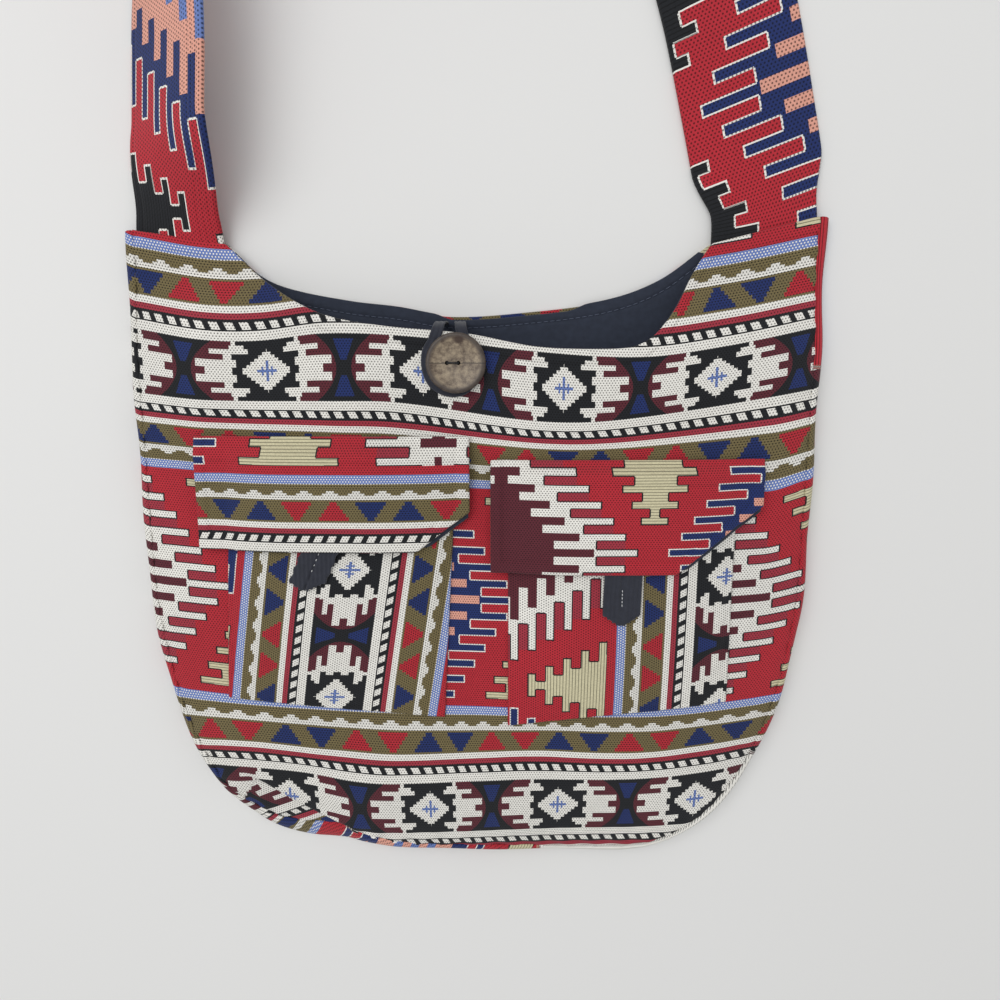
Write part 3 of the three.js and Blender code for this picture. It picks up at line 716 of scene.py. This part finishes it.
lining_back_x, lining_back_y = outline_grid(150, 120, lining_inset, lining_mouth)
stitch_line = back_mouth(lining_back_x) - lining_back_y
lining_ripple = (0.5 * creases(lining_back_x, lining_back_y, 26, 1.4)
                 + 0.35 * creases(lining_back_x, lining_back_y, 9, 6.1))
lining_hem = 0.35 * (1 - ease(4.5, 6.5, stitch_line)) - 0.4 * ridge(stitch_line - topstitch_drop, 0.9)
lining_back_z = lining_back_level + lining_slack + lining_ripple * ease(2, 25, stitch_line) + lining_hem
lining_back_points = joined(lining_back_x, lining_back_y, lining_back_z)
back_lining = sewn_cloth("back_lining", lining_back_points, plain_weave(lining_back_points), lining_thickness,
                         lining_cotton)
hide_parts("lining_back")

lining_x, lining_y = tucked(*outline_grid(110, 90, lining_inset, lining_front_mouth))
lining_front_points = joined(lining_x, lining_y, lining_front_height(lining_x, lining_y))
front_lining = sewn_cloth("front_lining", lining_front_points, plain_weave(lining_front_points), lining_thickness,
                          lining_cotton)
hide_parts("lining_front")

lining_strip = joining_strip(lining_front_mouth, lining_inset, 260, 9, 1.2, lining_front_height,
                             lining_back_level - lining_thickness)
gusset_lining = sewn_cloth("gusset_lining", lining_strip, plain_weave(lining_strip), 0.5, lining_cotton)
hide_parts("lining_gusset")

# ---- Strap: a wide doubled band of the patterned cloth, sewn into both horns and joined at its far end. ----
# It lies flat where it leaves the horns, turns onto its outer edge and arches round beyond the mouth.
strap_width = 68.0
strap_reach = 439.0
strap_stand = 86.0
strap_clearance = 0.3
inner_grooves = (3.2, 6.6, 10)
outer_groove = 4
strap_steps = 481
half_way = 246
left_stretch = 0.8
left_spread = 26
right_stretch = 0.72
right_spread = 25
right_slant = 4.8
left_strap_x = left_horn_width / 2 - seam_half_width
right_strap_x = seam_half_width - right_horn_width / 2
left_leg = [(0, -strap_insert), (0, 5), (1.5, 29), (5, 70), (8, 115), (10, 0.38 * strap_reach),
            (11, 0.52 * strap_reach), (14, 0.67 * strap_reach), (30, 0.82 * strap_reach), (66, 0.945 * strap_reach),
            (122, strap_reach)]
right_leg = [(-132, 0.965 * strap_reach), (-88, 0.87 * strap_reach), (-66, 0.735 * strap_reach),
             (-55, 0.6 * strap_reach), (-44, 0.465 * strap_reach), (-33, 150), (-22, 112), (-12, 72), (-4, 37),
             (0, right_horn_rise), (0, -strap_insert)]
strap_route = [(horn_x + aside, horn_height + beyond)
               for horn_x, leg in ((left_strap_x, left_leg), (right_strap_x, right_leg)) for aside, beyond in leg]


def smooth_route(points, steps):
    """Evenly spaced points on a smooth curve through the given ones."""
    points = np.array(points, float)
    knots = np.vstack([2 * points[0] - points[1], points, 2 * points[-1] - points[-2]])
    t = np.linspace(0, 1, 40, endpoint=False)[:, None]
    path = []
    for k in range(1, len(knots) - 2):
        p0, p1, p2, p3 = knots[k - 1:k + 3]
        d0, d1, d2 = (np.linalg.norm(b - a) ** 0.5 for a, b in ((p0, p1), (p1, p2), (p2, p3)))
        leave = ((p1 - p0) / d0 - (p2 - p0) / (d0 + d1) + (p2 - p1) / d1) * d1
        arrive = ((p2 - p1) / d1 - (p3 - p1) / (d1 + d2) + (p3 - p2) / d2) * d1
        path.append(between_ends(t, p1, p2, leave, arrive))
    return evenly_spaced(np.vstack([*path, points[-1:]]), steps)


strap_path, strap_travel = smooth_route(strap_route, strap_steps)
strap_length = strap_travel[-1]
heading = unit(np.gradient(strap_path, axis=0))
to_end = strap_length - strap_travel
left_rise = (ease(45, 265, strap_travel) ** 4 + (0.46 * ease(0, 75, strap_travel)) ** 4) ** 0.25
left_rise = np.minimum(left_rise, 1)
turned = np.radians(strap_stand) * left_rise * ease(150, 330, to_end)
left_widths = (left_horn_width - 2) + (strap_width - left_horn_width + 2) * ease(25, 68, strap_travel)
right_widths = (right_horn_width - 2) + (strap_width - right_horn_width + 2) * ease(31, 58, to_end)
widths = np.minimum(left_widths, right_widths)
inward = np.stack([heading[:, 1], -heading[:, 0], 0 * turned], axis=1)
upward = np.array((0, 0, 1.0))
widthways = inward * np.cos(turned)[:, None] + upward * np.sin(turned)[:, None]
faceways = upward * np.cos(turned)[:, None] - inward * np.sin(turned)[:, None]
near_horn = 1 - ease(strap_insert + 10, strap_insert + 50, np.minimum(strap_travel, to_end))
strap_level = (strap_thickness / 2 * np.cos(turned) + widths / 2 * np.sin(turned)
               + (cloth_thickness + gap) * near_horn)
strap_centre = np.column_stack([strap_path, strap_level])


def strap_half(name, first, last, along_strap, u_start, v_start):
    """One half of the strap. Its stripes run along it or across it, as that half was cut."""
    part = slice(first, last)
    place = np.linspace(-1, 1, 71)[:, None]
    from_inner = (1 - place) / 2 * widths[part]
    from_outer = (1 + place) / 2 * widths[part]
    travel = strap_travel[part] + 0 * place
    swell = 1 - 0.35 * place ** 6
    grooves = sum(ridge(from_inner - groove, 0.8) for groove in inner_grooves) + ridge(from_outer - outer_groove, 0.8)
    uneven = 0.5 * creases(travel, from_inner, 34, 2.2) + 0.22 * creases(travel, from_inner, 11, 9.4)
    half = strap_thickness / 2 * swell
    lift = half - 0.45 * grooves + uneven * (1 - place ** 4)
    points = (strap_centre[part] + place[..., None] * (widths[part, None] / 2 * widthways[part])
              + lift[..., None] * faceways[part])
    if along_strap:
        weave = joined(u_start - left_stretch * travel, v_start - left_spread * place)
    else:
        from_horn = strap_length - travel + right_slant * place
        weave = joined(u_start + right_spread * place, v_start - right_stretch * from_horn)
    points[..., 2] = np.maximum(points[..., 2], strap_clearance)
    return points[:, ::-1], weave[:, ::-1]


for side, first, last, along_strap, u_start, v_start in (("left", 0, half_way, True, 1072.7, -102.15),
                                                         ("right", half_way - 1, strap_steps, False, 1023.1, -62.63)):
    strap_points, strap_weave = strap_half(side, first, last, along_strap, u_start, v_start)
    strap_cloth = sewn_cloth(f"{side}_strap_cloth", strap_points, strap_weave, strap_thickness - 0.5, kilim)
    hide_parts("strap")

# ---- Pockets: two patch pockets with the cloth turned a quarter, so that its stripes run upright. ----
# Their sides and bottoms are turned under and stitched down, and their mouths stand open under the flaps.
pocket_depth = 6.5
pocket_stitch = 2.6
left_pocket = {"centre": -73, "width": 124, "bottom": 94, "top": 235, "lean": 8, "slope": 10}
right_pocket = {"centre": 80.5, "width": 125, "bottom": 90, "top": 226, "lean": 0, "slope": -12}


def pocket_lift(across, along):
    between = 1 - np.clip(np.abs(2 * across - 1), 0, 1) ** 3
    return pocket_depth * between * (1 - (1 - np.clip(along, 0, 1)) ** 3)


def pocket_cover(pocket, x, y):
    """Height of the pocket's outer face over the front panel."""
    along = (y - pocket["bottom"]) / (pocket["top"] - pocket["bottom"])
    across = (x - pocket["centre"] + pocket["lean"] * (1 - along)) / pocket["width"] + 0.5
    return gap + cloth_thickness + pocket_lift(across, along)


def left_pocket_weave(x, y):
    """A figured band runs up its middle and leans with the pocket."""
    band_x = -74.6 + 0.163 * (y - 142)
    return joined(-1.08 * (y - 177), 1.03 * (x - band_x))


def right_pocket_weave(x, y):
    """The field lies along its left side, and a figured band along its right edge."""
    return joined(-98 - 1.05 * (y - 108.3), x - 139.3)


for side, pocket, pocket_weave in (("left", left_pocket, left_pocket_weave),
                                   ("right", right_pocket, right_pocket_weave)):
    across, along = np.meshgrid(np.linspace(0, 1, 111), np.linspace(0, 1, 111))
    pocket_x = pocket["centre"] + (across - 0.5) * pocket["width"] - pocket["lean"] * (1 - along)
    pocket_y = (pocket["bottom"] + (pocket["top"] - pocket["bottom"]) * along
                + pocket["slope"] * (0.5 - across) * (1 - along))
    from_edge = np.minimum(np.minimum(across, 1 - across) * pocket["width"], along * 140)
    stitched = -0.55 * ridge(from_edge - pocket_stitch, 1.0) * (0.7 + 0.3 * np.sin((pocket_x + pocket_y) * 1.6))
    tension = 0.35 * np.exp(-from_edge / 6) * np.sin(0.5 * (pocket_x - pocket_y)) * ease(0, 3, from_edge)
    pocket_z = (front_height(pocket_x, pocket_y) + gap + cloth_thickness + pocket_lift(across, along)
                + stitched + tension + 0.3 * creases(pocket_x, pocket_y, 21, 4.4) * ease(0, 12, from_edge))
    pocket_points = joined(pocket_x, pocket_y, pocket_z)
    pocket_cloth = sewn_cloth(f"{side}_pocket_cloth", pocket_points, pocket_weave(pocket_x, pocket_y),
                              cloth_thickness, kilim)
    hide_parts(f"{side}_pocket")

# ---- Flaps: patterned cloth backed with the dark cotton, one lower corner cut off at a slant. ----
# Each is sewn down above its pocket's mouth and lies over it, with a rolled hem along its free edges.
flap_width = 148.5
flap_drop = 61.0
flap_clearance = 1.0
flap_hem = 6.2
flap_stitch = 13.5
backing_inset = 0.5
flap_gap = 0.5
cut_roll = 3.6
left_flap = {"left": -152.5, "above": 14, "cut_run": 28, "cut_rise": 21, "pocket": left_pocket}
right_flap = {"left": 8.4, "above": 10.4, "cut_run": 48.5, "cut_rise": 36, "pocket": right_pocket}


def flap_grid(flap, inset, columns, rows, roll=0):
    across, along = np.meshgrid(np.linspace(0, 1, columns), np.linspace(1, 0, rows))
    x = flap["left"] + inset + (flap_width - 2 * inset) * across
    from_cut = np.maximum(x - (flap["left"] + flap_width - flap["cut_run"]), 0)
    drop = flap_drop - inset + roll * ease(0, 8, from_cut) - from_cut * flap["cut_rise"] / flap["cut_run"]
    return x, flap["pocket"]["top"] + flap["above"] - drop * along, along, drop, across


def flap_level(flap, x, y):
    """Height of the flap's inner face: on the front above its pocket, and on the pocket below its top."""
    top = flap["pocket"]["top"] + flap["above"]
    over = ease(0, flap["above"] - 2, top - y)
    return front_height(x, y) + gap + over * (pocket_cover(flap["pocket"], x, y) + flap_clearance)


def left_flap_weave(x, y):
    """Its lower edge runs along a figured band, its top in the field."""
    return joined(-96.6 - 1.03 * (x + 101.3), 17.5 + 1.054 * (y - 188))


def right_flap_weave(x, y):
    """The field fills it, with the middle near its lower edge."""
    return joined(medallion_middle - 164 + (x - 13.6), 1.13 * (y - 187.4) - half_repeat)


for side, flap, flap_weave in (("left", left_flap, left_flap_weave), ("right", right_flap, right_flap_weave)):
    flap_x, flap_y, along, drop, across = flap_grid(flap, 0, 131, 61)
    from_top, from_free = drop * along, drop * (1 - along)
    from_side = np.minimum(across, 1 - across) * flap_width
    from_free = np.minimum(from_free, from_side)
    hem_roll = 0.7 * (1 - ease(4.5, 7, from_free)) - 0.5 * ridge(from_free - flap_hem, 0.9)
    top_stitch = -0.5 * ridge(from_top - flap_stitch, 1.0) + 0.25 * (1 - ease(12, 14, from_top))
    flap_z = (flap_level(flap, flap_x, flap_y) + lining_thickness + flap_gap + cloth_thickness
              + hem_roll + top_stitch + 0.25 * creases(flap_x, flap_y, 15, 7.7))
    flap_points = joined(flap_x, flap_y, flap_z)
    flap_cloth = sewn_cloth(f"{side}_flap_cloth", flap_points, flap_weave(flap_x, flap_y), cloth_thickness, kilim)
    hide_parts(f"{side}_flap")
    under_x, under_y, *_ = flap_grid(flap, backing_inset, 81, 41, cut_roll)
    under_z = flap_level(flap, under_x, under_y) + lining_thickness + 0.2
    under_points = joined(under_x, under_y, under_z)
    flap_lining = sewn_cloth(f"{side}_flap_backing", under_points, plain_weave(under_points), lining_thickness,
                             lining_cotton)
    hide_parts(f"{side}_flap_lining")

# ---- Flap tabs: dark tape folded so that its two legs lie side by side and meet in a point. ----
# They are sewn in under the hems of the flaps, and a few pale stitches hold their legs together.
tab_width = 19.5
tab_thickness = 1.8
left_tab = {"centre": -83, "length": 22, "lean": -11, "flap": left_flap}
right_tab = {"centre": 79.8, "length": 29.5, "lean": 0, "flap": right_flap}
dark_tape = plain_cotton("dark_tape", dyed(42, 45, 56), 0.5, 0.7, 0.2)
tab_middles = {}

for side, tab in (("left", left_tab), ("right", right_tab)):
    flap = tab["flap"]
    root = flap["pocket"]["top"] + flap["above"] - flap_drop + 3
    across, along = np.meshgrid(np.linspace(0, 1, 41), np.linspace(1, 0, 49))
    narrow = 1 - 0.85 * np.clip((along - 0.82) / 0.18, 0, 1)
    tab_x = tab["centre"] + (across - 0.5) * tab_width * narrow + tab["lean"] * along
    tab_y = root - (tab["length"] + 3) * along
    on_pocket = front_height(tab_x, tab_y) + pocket_cover(flap["pocket"], tab_x, tab_y) + gap
    under_flap = flap_level(flap, tab_x, np.full_like(tab_x, root)) + gap
    settle = ease(0, 0.45, along)
    between_legs = ridge((across - 0.5) * tab_width * narrow, 0.8)
    lengthways = 0.25 * np.sin(tab_x * 2.6 + 2 * along) + 0.3 * creases(tab_x, tab_y, 7, 3.3)
    tab_z = under_flap * (1 - settle) + on_pocket * settle + tab_thickness - 0.9 * between_legs + lengthways
    tab_points = joined(tab_x, tab_y, tab_z)
    tab_tape = sewn_cloth(f"{side}_tab", tab_points, plain_weave(tab_points), tab_thickness - 0.4, dark_tape)
    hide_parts(f"{side}_flap_loop")
    tab_middles[side] = tab_points[:, 20]

# ---- Button: a two-hole disc of coconut shell, turned, with a darker rim and a fine crack. ----
# It sits on a thread shank over the closure loop.
button_radius = 15.8
button_thickness = 4.5
button_x = -10.2
button_drop = 15.4
button_y = float(front_mouth(button_x)) - button_drop
rim_width = 2.6
rim_rounding = 1.1
dish_slope = 1.2
dish_depth = 0.6
hole_radius = 1.1
hole_spacing = 6.0
hole_offset = -1.6
tape_thickness = 1.0
button_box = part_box("wood_button")
button_base = button_box[0][2]
button_middle = Vector(((button_box[0][0] + button_box[1][0]) / 2, (button_box[0][1] + button_box[1][1]) / 2, 0))

bpy.ops.object.select_all(action="DESELECT")
bpy.ops.mesh.primitive_cylinder_add(vertices=96, radius=button_radius / 1000, depth=button_thickness / 1000,
                                    location=(button_middle.x, button_middle.y,
                                              button_base + button_thickness / 2000))
button = bpy.context.object
button.name = "coconut_button"
bpy.ops.object.mode_set(mode="EDIT")
bpy.ops.mesh.select_mode(type="FACE")
shape = bmesh.from_edit_mesh(button.data)
for face in shape.faces:
    face.select_set(face.normal.z > 0.9)
bmesh.update_edit_mesh(button.data)
bpy.ops.mesh.inset(thickness=rim_width / 1000, depth=0)
bpy.ops.mesh.inset(thickness=dish_slope / 1000, depth=-dish_depth / 1000)
bpy.ops.object.mode_set(mode="OBJECT")
rim_bevel = button.modifiers.new("rounded_rim", "BEVEL")
rim_bevel.width = rim_rounding / 1000
rim_bevel.segments = 4
rim_bevel.limit_method = "ANGLE"
rim_bevel.angle_limit = math.radians(50)
bpy.ops.object.modifier_apply(modifier=rim_bevel.name)
for place in (-0.5, 0.5):
    bpy.ops.object.select_all(action="DESELECT")
    bpy.ops.mesh.primitive_cylinder_add(
        vertices=24, radius=hole_radius / 1000, depth=0.02,
        location=(button_middle.x + (hole_offset + place * hole_spacing) / 1000, button_middle.y, button_base))
    drill = bpy.context.object
    bored = button.modifiers.new("bored", "BOOLEAN")
    bored.operation = "DIFFERENCE"
    bored.object = drill
    bpy.context.view_layer.objects.active = button
    bpy.ops.object.modifier_apply(modifier=bored.name)
    bpy.data.objects.remove(drill, do_unlink=True)
bpy.ops.object.select_all(action="DESELECT")
button.select_set(True)
bpy.context.view_layer.objects.active = button
bpy.ops.object.transform_apply(location=True, rotation=True, scale=True)
bpy.ops.object.shade_smooth_by_angle(angle=math.radians(35))

shell, tree, shader = new_material("coconut_shell")
from_button = tree.nodes.new("ShaderNodeMapping")
from_button.inputs["Location"].default_value = (-button_middle.x, -button_middle.y, -button_base)
tree.links.new(object_place(tree), from_button.inputs["Vector"])
shell_x, shell_y = (axis * 1000.0 for axis in axes_of(tree, from_button.outputs[0])[:2])
mottle = noise_value(tree, from_button.outputs[0], 320, 6, 0.7)
grain = tree.nodes.new("ShaderNodeValToRGB")
for element, place, dye in zip(grain.color_ramp.elements, (0.34, 0.68), (dyed(76, 61, 50), dyed(164, 148, 124))):
    element.position = place
    element.color = dye
tree.links.new(mottle.socket, grain.inputs[0])
from_middle = (shell_x * shell_x + shell_y * shell_y).step("SQRT") + mottle * 2.0
rim_shade = ((from_middle - 13.4) * 0.5).held(0.85)
patch_x, patch_y = (shell_x - 1.5) * 0.24, (shell_y - 12.0) * 0.34
dark_patch = ((1.0 - (patch_x * patch_x + patch_y * patch_y) - mottle * 0.4) * 1.6).held(0.9)
crack = ((shell_y - 0.5 + mottle * 1.2).size() < 0.28) * (shell_x > -14.0)
shell_colour = painted(grain.outputs[0], (dyed(46, 36, 34), rim_shade), (dyed(50, 30, 22), dark_patch),
                       (dyed(40, 30, 26), crack * 0.75))
tree.links.new(shell_colour, shader.inputs["Base Color"])
shader.inputs["Roughness"].default_value = 0.42
bumped(shader, mottle, 0.35, 0.0003)
button.data.materials.clear()
button.data.materials.append(shell)
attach(button, "root")
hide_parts("wood_button")

# ---- Closure loop: flat dark tape from the back's mouth edge, over the front's, round the button's shank. ----
# Both its ends are sewn under the topstitching of the back's mouth.
tape_width = 5.0
loop_edge = float(back_mouth(button_x)) - 3
loop_mouth = float(front_mouth(button_x))


def on_front(x, y):
    return (x, y, float(front_height(np.array([x]), np.array([y]))[0]) + gap + tape_thickness / 2)


def loop_leg(x, step):
    """From under the back's topstitching up and over the front's mouth."""
    return [(x, loop_edge, lining_back_level + gap + tape_thickness / 2 + 1.2),
            (x, loop_edge, 0.45 * crown_height), (x + step, loop_edge - 0.6, 0.78 * crown_height),
            (x + 2 * step, loop_mouth + 2.2, crown_height + 0.9)]


round_button = [(-12, loop_mouth - 4), (-15, button_y + 6), (-15.5, button_y - 2), (-12.5, button_y - 10),
                (-5, button_y - 14.5), (3, button_y - 14), (9, button_y - 8), (10.5, button_y), (8.5, button_y + 8),
                (5, loop_mouth - 4)]
loop_route = [*loop_leg(button_x - 7.8, -0.9), *(on_front(button_x + aside, y) for aside, y in round_button),
              *loop_leg(button_x + 1.4, 0.7)[::-1]]
loop_path, loop_travel = smooth_route(loop_route, 161)
tangent = unit(np.gradient(loop_path, axis=0))
share = loop_travel / loop_travel[-1]
upright = np.abs(tangent[:, 2]) > 0.5
towards = np.where(share < 0.5, -1.0, 1.0)
flat_x = np.where(upright, 0, tangent[:, 0])
flat_y = np.where(upright, towards, tangent[:, 1])
loop_side = unit(np.stack([flat_y, -flat_x, 0 * flat_x], axis=1))
smoothed_over = 9
smoothing = np.ones(smoothed_over) / smoothed_over
padded_side = np.pad(loop_side, ((smoothed_over // 2, smoothed_over // 2), (0, 0)), mode="edge")
loop_side = unit(np.stack([np.convolve(padded_side[:, k], smoothing, "valid") for k in range(3)], axis=1))
loop_face = unit(np.cross(loop_side, tangent))
place = np.linspace(-0.5, 0.5, 9)[:, None]
loop_points = (loop_path + place[..., None] * tape_width * loop_side
               + loop_face * (tape_thickness / 2 + 0.15 * np.cos(place * 2 * np.pi * 2)[..., None]))
closure = sewn_cloth("closure_tape", loop_points[:, ::-1], plain_weave(loop_points), tape_thickness, dark_tape)
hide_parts("closure_loop")

# ---- Threads: the button's black sewing thread, pale stitches in the tabs and the lining's topstitching. ----
# Each stitch is a short length of thread pulled down into the cloth at both ends.
button_thread_colour = dyed(24, 24, 28)
pale_thread_colour = dyed(205, 206, 208)
navy_thread_colour = dyed(84, 92, 112)
thread_radius = 0.42


def thread_material(name, dye):
    """Twisted thread: fine slanted shading along Object coordinates over one dye."""
    material, tree, shader = new_material(name)
    twist = tree.nodes.new("ShaderNodeTexWave")
    twist.bands_direction = "DIAGONAL"
    twist.inputs["Scale"].default_value = 900
    twist.inputs["Distortion"].default_value = 1.5
    tree.links.new(object_place(tree), twist.inputs["Vector"])
    toned(shader, dye, Number(tree, twist.outputs["Fac"]) * 0.45 + 0.7, {"Roughness": 0.6})
    return material


def sewn_stitches(name, paths, radius, material):
    """Short tubes of thread, one for each path of points."""
    vertices, faces = [], []
    sides = 7
    for path in paths:
        path = np.array(path, float)
        along = unit(np.gradient(path, axis=0))
        across = unit(np.cross(along, (0.02, 0.01, 1.0)))
        up = np.cross(across, along)
        start = len(vertices)
        for k, point in enumerate(path):
            taper = radius * (0.55 if k in (0, len(path) - 1) else 1)
            for angle in (2 * math.pi * turn_step / sides for turn_step in range(sides)):
                vertices.append(point + taper * (math.cos(angle) * across[k] + math.sin(angle) * up[k]))
        for ring in range(start, start + (len(path) - 1) * sides, sides):
            for turn_step in range(sides):
                a, b = ring + turn_step, ring + (turn_step + 1) % sides
                faces.append((a, b, b + sides, a + sides))
        faces += [tuple(range(start + sides - 1, start - 1, -1)), tuple(range(len(vertices) - sides, len(vertices)))]
    piece = placed_piece(name, vertices, faces, material)
    shape = bmesh.new()
    shape.from_mesh(piece.data)
    bmesh.ops.recalc_face_normals(shape, faces=shape.faces)
    shape.to_mesh(piece.data)
    shape.free()
    return piece


def arched(start, end, rise, steps=7):
    """A path from start to end that rises between them."""
    share = np.linspace(0, 1, steps)[:, None]
    points = np.array(start, float) * (1 - share) + np.array(end, float) * share
    points[:, 2:] += rise * np.sin(np.pi * share)
    return points


shell_top = button_base * 1000 + button_thickness - dish_depth
strand_depth = 5.2
left_hole = button_x + hole_offset - hole_spacing / 2
right_hole = button_x + hole_offset + hole_spacing / 2
strands = []
for step, offset in enumerate((-0.55, -0.1, 0.35, 0.7)):
    route = arched((left_hole, button_y + offset * 0.6, shell_top - 0.2),
                   (right_hole, button_y - offset * 0.5, shell_top - 0.2), 0.9 + 0.15 * step, 9)
    first_low, last_low = ((*route[k][:2], shell_top - strand_depth) for k in (0, -1))
    strands.append(np.vstack([first_low, route, last_low]))
shank = [arched((left_hole + 0.6 * k, button_y + 1.6 * math.sin(k), shell_top - 5.3),
                (left_hole + 0.6 * k, button_y - 1.6 * math.cos(k), shell_top - 4.6), 0.2) for k in range(10)]
button_thread = sewn_stitches("button_strands", strands + shank, thread_radius,
                              thread_material("black_thread", button_thread_colour))
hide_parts("button_thread")

pale_thread = thread_material("pale_thread", pale_thread_colour)
tab_stitches = []
stitch_lift = (0, 0, 0.5)
for side, first, step in (("right", 16, 3), ("left", 20, 6)):
    middle_line = tab_middles[side]
    for k in range(first, min(first + 5 * step, len(middle_line) - 2), step):
        tab_stitches.append(arched(middle_line[k] + stitch_lift, middle_line[k + 2] + stitch_lift, 0.25, 5))
sewn_stitches("tab_stitches", tab_stitches, 0.26, pale_thread)

topstitch = []
stitch_length = 2.6
for place_along in np.arange(-128, 121, stitch_length * 1.35):
    ends = []
    for x in (place_along, place_along + stitch_length):
        ends.append((x, float(back_mouth(x)) - topstitch_drop, lining_back_level + lining_slack - 0.05))
    topstitch.append(arched(*ends, 0.25, 5))
sewn_stitches("mouth_topstitch", topstitch, 0.22, thread_material("navy_thread", navy_thread_colour))
